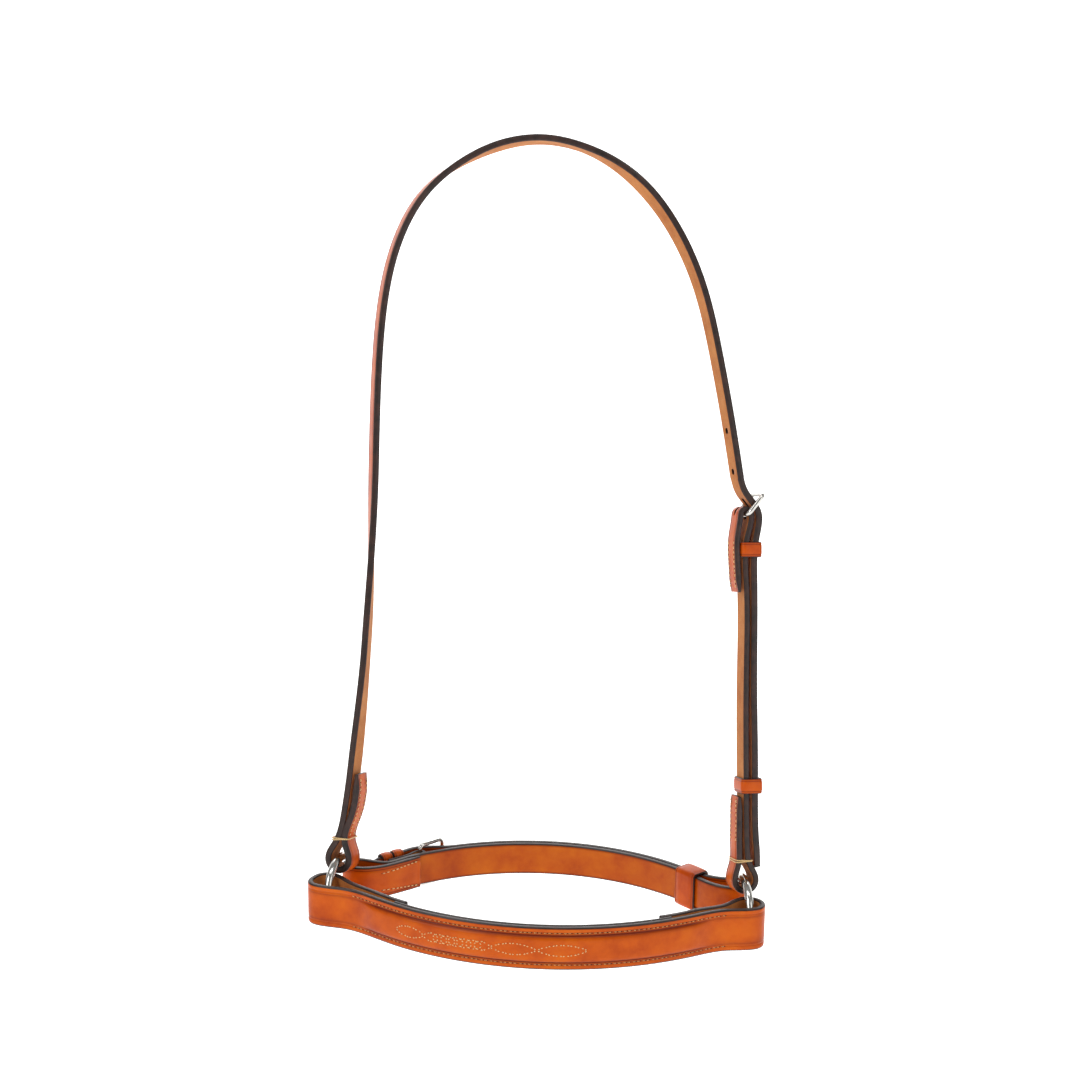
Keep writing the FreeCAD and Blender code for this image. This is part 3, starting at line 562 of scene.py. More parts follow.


# %% [markdown]
# ## Stitches
# A saddle stitch is a short length of thread that comes up through one awl hole and goes down
# through the next, about nine to the inch here. Each is built as a slim capsule whose ends dip
# into the leather, with a small dark dish at each end, painted shade for the inside of the awl
# hole. A texture of dashes would be lighter, but it would lie flat and lose the small shadow
# that makes sewing look real.


# %% Stitches
def sew(name, spots, body, nodes=(), length=2.1, thick=0.72, thread=cream_thread):
    """One piece of thread work from (middle, along, up) spots."""
    corners, faces, finishes = [], [], []
    rings, sides = 7, 8
    for middle, along, up in spots:
        beside = along.cross(up).normalized()
        start = len(corners)
        for i in range(rings):
            t = i / (rings - 1) * 2 - 1
            fat = thick / 2 * math.sqrt(max(1 - abs(t) ** 3, 0.02))
            dip = -0.42 * abs(t) ** 2.5
            centre = middle + along * (t * length / 2 * MM) + up * ((dip + thick * 0.16) * MM)
            for k in range(sides):
                a = 2 * math.pi * k / sides
                corners.append(centre + (beside * math.cos(a) + up * math.sin(a)) * (fat * MM))
        for i in range(rings - 1):
            for k in range(sides):
                a, b = start + i * sides + k, start + i * sides + (k + 1) % sides
                faces.append((a, b, b + sides, a + sides))
        end = start + (rings - 1) * sides
        faces += [tuple(range(start, start + sides)), tuple(range(end, end + sides))]
        finishes += [0] * ((rings - 1) * sides + 2)
        # the awl hole after it: a shallow dark dish just proud of the grain, painted shade for the hole
        hole = len(corners)
        centre = middle + along * ((length / 2 + 0.36) * MM)
        for k in range(8):
            a = 2 * math.pi * k / 8
            rim = along * (math.cos(a) * 0.42 * MM) + beside * (math.sin(a) * 0.36 * MM)
            corners.append(centre + rim - up * (0.12 * MM))
        for k in range(8):
            a = 2 * math.pi * k / 8
            rim = along * (math.cos(a) * 0.3 * MM) + beside * (math.sin(a) * 0.26 * MM)
            corners.append(centre + rim + up * (0.05 * MM))
        faces += [(hole + k, hole + (k + 1) % 8, hole + 8 + (k + 1) % 8, hole + 8 + k) for k in range(8)]
        faces += [tuple(range(hole + 8, hole + 16)), tuple(range(hole, hole + 8))]
        finishes += [1] * 10
    piece = build(name, corners, faces, finishes, [thread, awl_hole_shade])
    return place_piece(piece, body, "linen_thread", *nodes)


def seam_spots(stations, start, end, across, height, pitch=2.8, slant=0.0, spread=0.0):
    """Spots every pitch from start to end (mm along), at a distance across and a height out."""
    spots = []
    total = abs(end - start)
    for n in range(int(total / pitch) + 1):
        s = min(start, end) + (total % pitch) / 2 + n * pitch
        i = walk(stations, 0, s)
        middle, ahead, out, side, _ = stations[i]
        share = n * pitch / total
        place = middle + side * ((across + spread * share) * MM) + out * (height * MM)
        up = out if height > 0 else -out
        lean = math.radians(slant)
        spots.append((place, (ahead * math.cos(lean) + side * math.sin(lean)), up))
    return spots


print("a row of stitches every 2.8 mm")

# %% [markdown]
# ## Crown strap
# One long strap, 13 mm wide and 4 mm thick. At the left it turns back round its ring and is sewn
# to itself; it climbs over the poll, comes down through the buckle and lies along the outside of
# the cheek strap, where its tapered tail is held by two keepers.

# %% Crown strap
loop_mid = CROWN_LOOP_HOLE + CROWN_THICK / 2
lap_step = CROWN_THICK + 0.8


def hang(x, z):
    """A place on the free strap, as shares of the rings' half gap and of their drop."""
    return (x * RING_GAP, -z * RING_DROP)


crown_points = [(-RING_GAP + 12.2, left_neck + 41.7), (-RING_GAP + 8.8, left_neck + 17.7),
                (-RING_GAP + lap_step - 0.6, left_neck)]
crown_points += arc_round(left_loop, loop_mid, 10, -190, 9)
crown_points += [
    (-RING_GAP - 2.2, left_neck), (-RING_GAP + 3.6, left_neck + 17.7), (-RING_GAP + 7.4, left_neck + 41.7),
    hang(-0.887, 0.69), hang(-0.861, 0.585), hang(-0.841, 0.427), hang(-0.82, 0.2716), hang(-0.787, 0.1928),
    hang(-0.7025, 0.1139), hang(-0.583, 0.0624), hang(-0.35, 0.0175), (0.0, CROWN_THICK / 2),
    hang(0.3, 0.018), hang(0.511, 0.0602), hang(0.6625, 0.1139), hang(0.795, 0.1928), hang(0.867, 0.2716),
    hang(0.936, 0.3768), hang(0.968, 0.4294),
    (buckle_bar[0] - 0.5, buckle_bar[1] + 13.5), (buckle_bar[0] + 7.6, buckle_bar[1] + 1.5),
    (tail_mid + 1.9, buckle_bar[1] - 13.5), (tail_mid + 0.6, buckle_bar[1] - 39.5),
    (tail_mid + 0.5, (buckle_bar[1] + lower_keeper) / 2 - 27.0), (tail_mid + 1.0, lower_keeper + 16.0),
    (tail_mid + 1.0, lower_keeper - 12.0), (tail_mid + 2.0, -RING_DROP + 38.5),
    (tail_mid + 3.6, -RING_DROP + 26.0)]
crown_stations = headpiece_stations(crown_points)
crown_long = crown_stations[-1][4] / MM


def crown_shape(i):
    """The tail narrows to a blunt tip, and the sewn lap is pared thinner at its end."""
    s = crown_stations[i][4] / MM
    tip = min((crown_long - s) / 14.0, 1.0)
    return 0.42 + 0.58 * math.sin(tip * math.pi / 2), 0.55 + 0.45 * ease(s / 9.0)


crown = sweep("crown_strap_leather", crown_stations, strap_section(CROWN_WIDTH, CROWN_THICK),
              [tan_grain, flesh_side, dark_edge], crown_shape)
tongue_spot = cheek_side @ Vector(((buckle_bar[0] + 5.0) * MM, 0, (buckle_bar[1] + 4.2) * MM))
tongue_at = nearest(crown_stations, tongue_spot)
cutters = []
for step in (-2, -1, 1, 2, 3):
    at = walk(crown_stations, tongue_at, step * HOLE_SPACING)
    cutters.append(punched(crown_stations[at], HOLE_SIZE, HOLE_SIZE))
cutters.append(punched(crown_stations[tongue_at], 15.0, SLOT_WIDE))
cut_out(crown, cutters)
place_piece(crown, "headpiece", "bridle_leather", "crown_strap")
print("crown strap", round(crown_long), "mm long")

# %% [markdown]
# ## Cheek strap
# A shorter, thinner strap whose upper end folds over the buckle's bar and whose lower end turns
# round the right ring. Both ends are sewn back on the inner side, so their grain faces inward.

# %% Cheek strap
cheek_lap_in = cheek_mid - CHEEK_THICK - 0.8
cheek_points = [(cheek_lap_in, buckle_bar[1] - 45.5), (cheek_lap_in - 1.3, buckle_bar[1] - 25.5),
                (cheek_lap_in - 1.2, buckle_bar[1] - 13.5)]
cheek_points += arc_round(buckle_bar, BUCKLE_WIRE / 2 + 0.2 + CHEEK_THICK / 2, 185, -5, 7)
cheek_points += [(cheek_mid + 0.6, buckle_bar[1] - 13.5), (cheek_mid, buckle_bar[1] - 39.5),
                 (cheek_mid, (buckle_bar[1] + lower_keeper) / 2 - 18.0), (cheek_mid, lower_keeper + 2.0),
                 (cheek_mid + 0.2, lower_keeper - 22.0), (cheek_mid + 0.5, neck + 10.0),
                 (RING_GAP + 2.5, neck)]
cheek_points += arc_round(top_loop, CROWN_LOOP_HOLE + CHEEK_THICK / 2, 10, -190, 9)
cheek_points += [(RING_GAP - 4.2, neck), (cheek_lap_in - 0.1, neck + 10.0),
                 (cheek_lap_in, lower_keeper - 22.0), (cheek_lap_in, lower_keeper - 6.2)]
cheek_stations = headpiece_stations(cheek_points, twisted=False)
cheek_long = cheek_stations[-1][4] / MM


def cheek_shape(i):
    """Both laps are pared thinner at their ends."""
    s = cheek_stations[i][4] / MM
    return 1.0, 0.5 + 0.5 * ease(min(s, cheek_long - s) / 8.0)


cheek = sweep("cheek_strap_leather", cheek_stations, strap_section(CROWN_WIDTH, CHEEK_THICK),
              [tan_grain, flesh_side, dark_edge], cheek_shape)
bar_place = cheek_side @ Vector((buckle_bar[0] * MM, 0, buckle_bar[1] * MM))
fold_top = cheek_stations[nearest(cheek_stations, bar_place + Vector((0, 0, 0.0033)))]
cut_out(cheek, [punched(fold_top, 10.0, SLOT_WIDE)])
place_piece(cheek, "headpiece", "bridle_leather", "cheek_strap")
print("cheek strap", round(cheek_long), "mm long")

# %% [markdown]
# ## Nosepiece
# Its front is one strap whose middle is raised over a filler and whose borders are flat, with a
# sewn row in each. The section is the shape of the real one cut through: border, groove for the
# thread, a pressed valley, and a smooth crown; the valley and the thread groove are darkened
# with painted shade. The rise fades out before the ends, which turn flat round the rings.

# %% Nosepiece face
face_mid = NOSE_RADIUS - FACE_THICK / 2
lap_mid = NOSE_RADIUS - FACE_THICK * 1.5 - LINING_THICK - 0.4
nose_half = [nose_arc(face_mid, a) for a in (5, 12, 19, 26, 34)]
nose_half += [(nose_loop[0] - 12.5, nose_loop[1] - 10.9)]
nose_half += arc_round(nose_loop, NOSE_LOOP_HOLE + FACE_THICK / 2, -72, 128, 9)
nose_half += [(nose_loop[0] - 13.1, nose_loop[1] - 3.2)]
nose_half += [nose_arc(lap_mid, a) for a in (36, 32, 27)]
# the left end stands further out than the right, so its loop is longer
shares = [0.0] * 5 + [0.4] + [1.0] * 9 + [0.4] + [0.0] * 3
lifts = [0.0] * 11 + [1.8, 2.4, 2.9, 3.1] + [2.9] + [0.0] * 3
left_half = [(x + LEFT_REACH * share, y + lift) for (x, y), share, lift in zip(nose_half, shares, lifts)]
nose_points = mirrored(left_half) + [nose_arc(face_mid, 0)] + nose_half
nose_stations = band_stations(nose_points, flip=-1, step=0.8)
nose_long = nose_stations[-1][4] / MM
nose_middle = nose_stations[min(range(len(nose_stations)), key=lambda i: (
    nose_stations[i][0] - nose_frame @ Vector((0, nose_arc(face_mid, 0)[1] * MM, 0))).length)][4] / MM

# (across, height, rise of the ridge there, finish, stain_and_shade: painted shade in the valley and groove)
FACE_PROFILE = [
    (0.0, 0, 1.0, GRAIN, 0.0), (2.2, 0, 0.99, GRAIN, 0.0), (4.2, 0, 0.95, GRAIN, 0.0),
    (5.8, 0, 0.84, GRAIN, 0.05), (6.9, 0, 0.62, GRAIN, 0.25), (7.6, 0, 0.3, GRAIN, 0.7),
    (8.0, -0.12, 0.0, GRAIN, 1.0), (8.4, -0.08, 0.0, GRAIN, 0.9), (8.8, 0, 0.0, GRAIN, 0.3),
    (9.1, -0.16, 0.0, GRAIN, 0.35), (9.5, -0.24, 0.0, GRAIN, 0.5), (9.9, -0.16, 0.0, GRAIN, 0.35),
    (10.2, 0, 0.0, GRAIN, 0.0), (11.3, 0, 0.0, GRAIN, 0.0), (11.8, -0.03, 0.0, GRAIN, 0.3)]


def face_section(rise):
    """The nosepiece's section with its ridge raised by a share of its full height."""
    w, h, r = NOSE_WIDTH / 2, FACE_THICK / 2, 0.8
    # the painted shade in the valley and groove deepens as the ridge rises, keeping 0.4 of it where the ridge
    # is flat
    top = [(u, h + v + RIDGE_HIGH * lift * rise, f, d * (0.4 + 0.6 * rise))
           for u, v, lift, f, d in FACE_PROFILE]
    edge = [(w - r, h - 0.08, EDGE, 0.7), (w - 0.3 * r, h - 0.35 * r, EDGE, 1.0), (w, h - r, EDGE, 1.0),
            (w, r - h, EDGE, 1.0), (w - 0.3 * r, 0.25 * r - h, EDGE, 1.0), (w - r, -h, FLESH, 0.5)]
    right = top[1:] + edge
    left = [(-u, v, right[max(i - 1, 0)][2], d) for i, (u, v, f, d) in enumerate(right)][::-1]
    return [top[0]] + right + [(0.0, -h, FLESH, 0.0)] + left


def ridge_share(angle):
    """1 along the front, fading to 0 before the flat ends."""
    return 1 - ease((abs(angle) - 32.0) / 6.0)


rises = [ridge_share(math.degrees((s / MM - nose_middle) / face_mid)) for *_, s in nose_stations]
face = sweep("noseband_face_leather", nose_stations, [face_section(rise) for rise in rises],
             [tan_grain, flesh_side, dark_edge])
place_piece(face, "nosepiece", "bridle_leather", "noseband_face", "noseband_filler")
print("nosepiece strap", round(nose_long), "mm long")

# %% [markdown]
# ## Lining
# A thinner strap of undyed leather lies against the nose and hides the back of the sewing. Its
# edges are stained with the face's, so the two read as one dark, double edge from above.

# %% Nosepiece lining
lining_mid = NOSE_RADIUS - FACE_THICK - LINING_THICK / 2 - 0.05
lining_points = [nose_arc(lining_mid, a) for a in np.linspace(-29, 29, 15)]
lining_stations = band_stations(lining_points, flip=1, step=1.2)
lining = sweep("noseband_lining_leather", lining_stations,
               strap_section(NOSE_WIDTH - 0.1, LINING_THICK - 0.1, 2.0, 0.0, 0.6),
               [lining_flesh, lining_flesh, dark_edge])
place_piece(lining, "nosepiece", "lining_leather", "noseband_lining")

# %% [markdown]
# ## Nosepiece sewing
# Two long rows hold face, filler and lining together. The same thread shows on the lining, and
# more of it holds each end's lap. Then come the decorative stitches on the crown: pointed lenses
# that touch tip to tip, with a stretch of closely crossing waves between them.

# %% Nosepiece seams
face_top = FACE_THICK / 2 - 0.12
for label, side in (("upper", 1), ("lower", -1)):
    spots = seam_spots(nose_stations, nose_middle - 114.0, nose_middle + 118.0, side * SEAM_ACROSS, face_top)
    sew("noseband_seam_%s_thread" % label, spots, "nosepiece", ["noseband_seam_%s" % label],
        length=1.7, thick=0.6, thread=seam_thread)
lining_long = lining_stations[-1][4] / MM
inner_spots = []
lining_top = LINING_THICK / 2 - 0.05
for across in (SEAM_ACROSS, -SEAM_ACROSS):
    inner_spots += seam_spots(lining_stations, 16.0, lining_long - 16.0, across, lining_top)
    inner_spots += seam_spots(nose_stations, 2.0, 26.0, across, FACE_THICK / 2)
    inner_spots += seam_spots(nose_stations, nose_long - 26.0, nose_long - 2.0, across, FACE_THICK / 2)
sew("noseband_inner_thread", inner_spots, "nosepiece")


# %% Fancy stitching on the crown of the nosepiece
def crown_height(across):
    """How high the ridge stands at a distance across, from the face's own profile."""
    heights = [p[1] + RIDGE_HIGH * p[2] for p in FACE_PROFILE]
    return np.interp(abs(across), [p[0] for p in FACE_PROFILE], heights)


def ornament_spots(start, end, high, phase, pitch=2.0):
    """Stitches along one pointed wave from start to end, in mm from the nosepiece's middle."""
    spots, count = [], max(int(abs(end - start) / pitch * 1.06), 2)
    for n in range(count):
        t = (n + 0.5) / count
        x = start + (end - start) * t
        rise = phase * high * math.sin(math.pi * t) ** 0.8
        fall = max(math.sin(math.pi * t), 0.2) ** 0.2
        slope = phase * high * 0.8 * math.pi * math.cos(math.pi * t) / fall / (end - start)
        middle, ahead, out, side, _ = nose_stations[walk(nose_stations, 0, nose_middle + x)]
        place = middle + side * (rise * MM) + out * ((FACE_THICK / 2 + crown_height(rise) - 0.06) * MM)
        spots.append((place, (ahead + side * slope).normalized(), out))
    return spots


ornament = []
for start, end, high in ((-79, -60, 3.2), (-20, 6, 3.3), (6, 34, 3.3)):
    for phase in (1, -1):
        ornament += ornament_spots(start, end, high, phase)
for start in np.arange(-60.0, -20.0, 10.0):
    for phase in (1, -1):
        ornament += ornament_spots(start, start + 10.0, 2.6, phase)
        if start < -31:
            ornament += ornament_spots(start + 5.0, start + 15.0, 2.6, phase)
sew("noseband_fancy_thread", ornament, "nosepiece", ["noseband_fancy_stitching"], length=1.25, thick=0.62)
print("decorative stitches", len(ornament))

# %% [markdown]
# ## Chin strap
# A doubled strap: it is sewn round the left ring, runs round the back, turns in the right ring
# and comes back on its outside to the buckle near the left ring. It is dressed on both faces, so
# both show the dyed, waxed finish.

# %% Chin strap
half = CHIN_THICK / 2
chin_mid = CHIN_RADIUS + half
chin_lap = CHIN_RADIUS - half - 0.4
outer_mid = chin_mid + CHIN_THICK + LAYER_GAP
chin_loop_mid = CHIN_LOOP_HOLE + half
left_hold = (-chin_loop[0], chin_loop[1])
tail_level = CHIN_RADIUS + CHIN_THICK + 2 * CHAPE_THICK + 0.9 + 1.2 + 0.7 + half
chin_points = [chin_arc(chin_lap, a) for a in (-39, -42, -45)]
chin_points += [(left_hold[0] + 11.5, left_hold[1] - 5.4)]
chin_points += [(2 * left_hold[0] - x, y) for x, y in arc_round(left_hold, chin_loop_mid, -80, 80, 7)]
chin_points += [(left_hold[0] + 9.3, left_hold[1] + 5.0), chin_arc(chin_mid + 1.1, -48.3)]
chin_points += [chin_arc(chin_mid, a) for a in (-43, -36, -27, -18, -9, 0, 9, 18, 27, 36, 43)]
chin_points += [(chin_loop[0] - 13.0, chin_loop[1] - 2.9)] + arc_round(chin_loop, chin_loop_mid, -90, 90, 7)
chin_points += [(chin_loop[0] - 12.0, chin_loop[1] + 8.0)]
chin_points += [chin_arc(outer_mid, a) for a in (41, 34, 25, 16, 7, -2, -11, -19, -24)]
chin_points += [chin_arc(outer_mid + 1.2, -29.5), chin_arc(outer_mid + 5.2, -33.5)]
chin_points += [chin_arc(tail_level + 1.5, -37.3), chin_arc(tail_level, -42.0), chin_arc(tail_level, -45.3)]
chin_points += [chin_arc(tail_level + 0.2, -47.4), chin_arc(tail_level + 2.0, -49.0),
                chin_arc(tail_level + 5.0, -50.4)]
chin_stations = band_stations(chin_points)
chin_long = chin_stations[-1][4] / MM


def chin_shape(i):
    """A rounded tail tip, and a pared lap end."""
    s = chin_stations[i][4] / MM
    tip = min((chin_long - s) / 10.0, 1.0)
    return 0.5 + 0.5 * math.sin(tip * math.pi / 2), 0.55 + 0.45 * ease(s / 8.0)


bar_spot = chin_arc(CHIN_RADIUS + CHIN_THICK + BUCKLE_WIRE / 2 + 0.2 + CHAPE_THICK + 0.3, -36.8)
far_spot = chin_arc(outer_mid + half + BUCKLE_WIRE / 2 + 3.2, -29.7)
chin_reach = math.hypot(far_spot[0] - bar_spot[0], far_spot[1] - bar_spot[1])
reach_angle = math.atan2(far_spot[1] - bar_spot[1], far_spot[0] - bar_spot[0])
chin = sweep("chin_strap_leather", chin_stations, strap_section(CHIN_WIDTH, CHIN_THICK),
             [tan_grain, dressed_inside, dark_edge], chin_shape)


def flat_place(x, y):
    return nose_frame @ Vector((x * MM, y * MM, 0))


tongue_through = [i for i, s in enumerate(chin_stations) if s[4] / MM > chin_long * 0.6]
slot_place = flat_place(bar_spot[0] + 8.0 * math.cos(reach_angle),
                        bar_spot[1] + 8.0 * math.sin(reach_angle) + 3.5)
slot_at = min(tongue_through, key=lambda i: (chin_stations[i][0] - slot_place).length)
chin_cuts = [punched(chin_stations[slot_at], 13.0, SLOT_WIDE, depth=2.4)]
for angle in (-24.0, -14.0, -4.0):
    spot = flat_place(*chin_arc(outer_mid, angle))
    at = min(tongue_through, key=lambda i: (chin_stations[i][0] - spot).length)
    chin_cuts.append(punched(chin_stations[at], HOLE_SIZE, HOLE_SIZE, depth=1.7))
cut_out(chin, chin_cuts)
place_piece(chin, "chin_piece", "bridle_leather", "chin_strap")
print("chin strap", round(chin_long), "mm long")

# %% Chape: the folded leather that holds the chin buckle
fold = BUCKLE_WIRE / 2 + 0.2 + CHAPE_THICK / 2
leg_low = CHIN_RADIUS + CHIN_THICK + CHAPE_THICK / 2 + 0.25
leg_high = leg_low + CHAPE_THICK + 0.4
fold_start = math.degrees(math.atan2(bar_spot[1] - chin_centre, bar_spot[0]))
chape_points = [chin_arc(leg_low + 0.3, -46.8)] + [chin_arc(leg_low + 0.1, a) for a in (-45.0, -43.0, -40.0)]
chape_points += arc_round(bar_spot, fold, fold_start - 180, fold_start, 7)
chape_points += [chin_arc(leg_high + 0.5, -40.2)] + [chin_arc(leg_high + 0.1, a) for a in (-43.0, -45.0)]
chape_points += [chin_arc(leg_high + 0.2, -46.6)]
chape_stations = band_stations(chape_points, flip=-1, step=0.6)
chape = sweep("chin_chape_leather", chape_stations, strap_section(CHAPE_WIDTH, CHAPE_THICK, 2.0, 0.08, 0.5),
              [tan_grain, flesh_side, dark_edge])
fold_tip = flat_place(bar_spot[0] + fold * math.cos(reach_angle), bar_spot[1] + fold * math.sin(reach_angle))
cut_out(chape, [punched(chape_stations[nearest(chape_stations, fold_tip)], 9.0, SLOT_WIDE, depth=2.2)])
place_piece(chape, "chin_piece", "bridle_leather", "chin_buckle_chape")


# %% [markdown]
# ## Keepers and the runner
# A keeper is a narrow loop of leather that holds a strap's tail; the runner is a wider, loose
# one. Wet leather moulded round a strap takes soft corners and a domed face, so the section is
# thick in the middle and thin at its edges, and the loop is a rectangle with rounded corners.

# %% Leather loops
LOOP_SIDES = 44


def loop_line(wide, tall, bend):
    """Places and outward directions round a rectangle with rounded corners, in mm."""
    places = []
    per_corner = LOOP_SIDES // 4
    for corner, (sx, sy) in enumerate(((1, 1), (-1, 1), (-1, -1), (1, -1))):
        cx, cy = sx * (wide / 2 - bend), sy * (tall / 2 - bend)
        for k in range(per_corner):
            a = math.radians(90 * corner + 90 * k / (per_corner - 1))
            places.append((cx + bend * math.cos(a), cy + bend * math.sin(a), math.cos(a), math.sin(a)))
    return places


def leather_loop(name, inner_wide, inner_tall, wall, length, place):
    """A domed leather band round local Z; its inner side clears the straps inside it."""
    u, w, groove = length / 2, wall, 0.1
    # the groove by each edge is darkened with painted shade, and the corners carry the real edge stain
    section = [(-u, 0.0, EDGE, 1.0), (-u, w * 0.45, EDGE, 1.0), (-u + 0.35, w * 0.72, GRAIN, 0.8),
               (-u + 1.1, w * 0.86, GRAIN, 0.1), (-u + 1.5, w * 0.84 - groove, GRAIN, 0.9),
               (-u + 1.9, w * 0.92, GRAIN, 0.1), (-u * 0.4, w, GRAIN, 0.0), (u * 0.4, w, GRAIN, 0.0),
               (u - 1.9, w * 0.92, GRAIN, 0.1), (u - 1.5, w * 0.84 - groove, GRAIN, 0.9),
               (u - 1.1, w * 0.86, GRAIN, 0.1), (u - 0.35, w * 0.72, EDGE, 0.8), (u, w * 0.45, EDGE, 1.0),
               (u, 0.0, FLESH, 0.6), (0.0, 0.0, FLESH, 0.0)]
    corners, stain_and_shade, faces, finishes = [], [], [], []
    line = loop_line(inner_wide, inner_tall, 1.4)
    for x, y, nx, ny in line:
        for z, v, _, d in section:
            corners.append(place @ Vector(((x + nx * v) * MM, (y + ny * v) * MM, z * MM)))
            stain_and_shade.append(d)
    ring = len(section)
    for i in range(len(line)):
        for k in range(ring):
            a, b = i * ring + k, i * ring + (k + 1) % ring
            following = ((i + 1) % len(line)) * ring
            faces.append((a, b, following + (k + 1) % ring, following + k))
            finishes.append(section[k][2])
    return build(name, corners, faces, finishes, [keeper_grain, flesh_side, dark_edge], stain_and_shade)


def on_side(turn, x, z):
    return turn @ Matrix.Translation((x * MM, 0, z * MM))


pair_middle = (cheek_mid - CHEEK_THICK / 2 + tail_mid + CROWN_THICK / 2) / 2
pair_deep = CHEEK_THICK + CROWN_THICK + 1.05
for label, slack, wall, shift, height in (("upper", 2.6, 1.0, 0.8, upper_keeper),
                                          ("lower", 2.2, 1.4, 0.9, lower_keeper)):
    band = leather_loop("cheek_keeper_%s_leather" % label, pair_deep + slack, KEEPER_INSIDE, wall, 9.0,
                        on_side(cheek_side, pair_middle + shift, height))
    place_piece(band, "headpiece", "bridle_leather", "cheek_keeper_" + label)


def on_chin(radius, degrees):
    """A frame on the chin strap whose Z runs along it, X across its width and Y outward."""
    x, y = chin_arc(radius, degrees)
    spin = Matrix.Rotation(math.radians(-degrees), 4, "Z") @ Matrix.Rotation(math.radians(90), 4, "Y")
    return nose_frame @ Matrix.Translation((x * MM, y * MM, 0)) @ spin


for label, angle in (("rear", -42.8), ("front", -46.3)):
    band = leather_loop("chin_keeper_%s_leather" % label, CHIN_WIDTH + 0.7, CHIN_THICK + 1.4, 1.2, 7.5,
                        on_chin(tail_level + 0.1, angle))
    place_piece(band, "chin_piece", "bridle_leather", "chin_keeper_" + label)
runner_place = on_chin((chin_mid + outer_mid) / 2 + 0.55, 43.0)
runner = leather_loop("chin_runner_leather", CHIN_WIDTH + 1.05, 2 * CHIN_THICK + LAYER_GAP + 3.8, 1.6, 16.0,
                      runner_place)
place_piece(runner, "runner", "bridle_leather", "chin_runner")

# %% [markdown]
# ## Rings and buckles
# The side rings are 5 mm wire bent and welded into 45 mm rings. A buckle frame is thinner wire
# bent to a rounded rectangle, and its tongue is a tapering wire whose end is rolled into an eye
# round the bar. Both are tubes: a circle carried along a line, fine enough to look turned.


# %% Wire pieces
def wire_piece(name, line, radii, closed, body, node, sides=20):
    """A tube along places in metres, with a radius in mm at each."""
    count = len(line)
    corners, faces = [], []
    guide = None
    for i, place in enumerate(line):
        before = line[i - 1] if closed or i > 0 else line[i]
        after = line[(i + 1) % count] if closed or i < count - 1 else line[i]
        along = (after - before).normalized()
        if guide is None:
            guide = along.orthogonal().normalized()
        guide = (guide - along * guide.dot(along)).normalized()
        beside = along.cross(guide)
        for k in range(sides):
            a = 2 * math.pi * k / sides
            corners.append(place + (guide * math.cos(a) + beside * math.sin(a)) * (radii[i] * MM))
    for i in range(count if closed else count - 1):
        here, following = i * sides, (i + 1) % count * sides
        for k in range(sides):
            beyond = (k + 1) % sides
            faces.append((here + k, here + beyond, following + beyond, following + k))
    if not closed:
        faces += [tuple(range(sides)), tuple(range((count - 1) * sides, count * sides))]
    piece = build(name, corners, faces, [0] * len(faces), [bright_nickel])
    return place_piece(piece, body, "nickel_plate", node)


for label, side in (("right", 1), ("left", -1)):
    spin = Matrix.Rotation(side * splay, 4, "Z")
    height = (0 if side > 0 else LEFT_RISE) - RING_DROP
    hub = Matrix.Translation((side * RING_GAP * MM, 0, height * MM)) @ spin
    turns = [2 * math.pi * k / 120 for k in range(120)]
    line = [hub @ Vector((0, RING_RADIUS * MM * math.cos(a), RING_RADIUS * MM * math.sin(a))) for a in turns]
    wire_piece("ring_%s_nickel" % label, line, [RING_WIRE / 2] * 120, True, label + "_ring", "ring_" + label)


def buckle_frame(name, length, wide, place, body, node):
    """A rounded rectangle of wire; its bar lies on local Y and its far end `length` away."""
    outline = loop_line(length, wide, 3.2)
    line = [place @ Vector(((x + length / 2) * MM, y * MM, 0)) for x, y, _, _ in outline]
    kept = [p for i, p in enumerate(line) if (p - line[i - 1]).length > 1e-5]
    dense = []
    for i, p in enumerate(kept):
        q = kept[(i + 1) % len(kept)]
        steps = max(int((q - p).length / 0.0015), 1)
        dense += [p.lerp(q, k / steps) for k in range(steps)]
    return wire_piece(name, dense, [BUCKLE_WIRE / 2] * len(dense), True, body, node)


def buckle_tongue(name, length, place, body, node):
    """The eye rolled round the bar and the finger that rests on the far end."""
    eye = BUCKLE_WIRE / 2 + 0.06 + 0.5
    lift = BUCKLE_WIRE / 2 + TONGUE_WIRE / 2 + 0.15
    line, radii = [], []
    for k in range(16):
        a = math.radians(-250 + 310 * k / 15)
        line.append((eye * 1.06 * math.cos(a), eye * 1.06 * math.sin(a)))
        radii.append(0.55 + 0.25 * k / 15)
    for t, x in ((0.3, 0.34), (0.5, 0.52), (0.7, 0.7), (0.85, 0.85), (1.0, 1.0)):
        line.append((length * x, lift * (0.92 + 0.08 * min(t / 0.7, 1))))
        radii.append(1.1 - 0.12 * t)
    line.append((length + 1.1, lift - 0.12))
    radii.append(0.9)
    line.append((length + 1.5, lift - 0.3))
    radii.append(0.55)
    smooth, _, walked = smooth_line(line, 0.35)
    share = np.interp(np.linspace(0, 1, len(smooth)), np.linspace(0, 1, len(radii)), radii)
    places = [place @ Vector((x * MM, 0, z * MM)) for x, z in smooth]
    return wire_piece(name, places, list(share), False, body, node, sides=14)


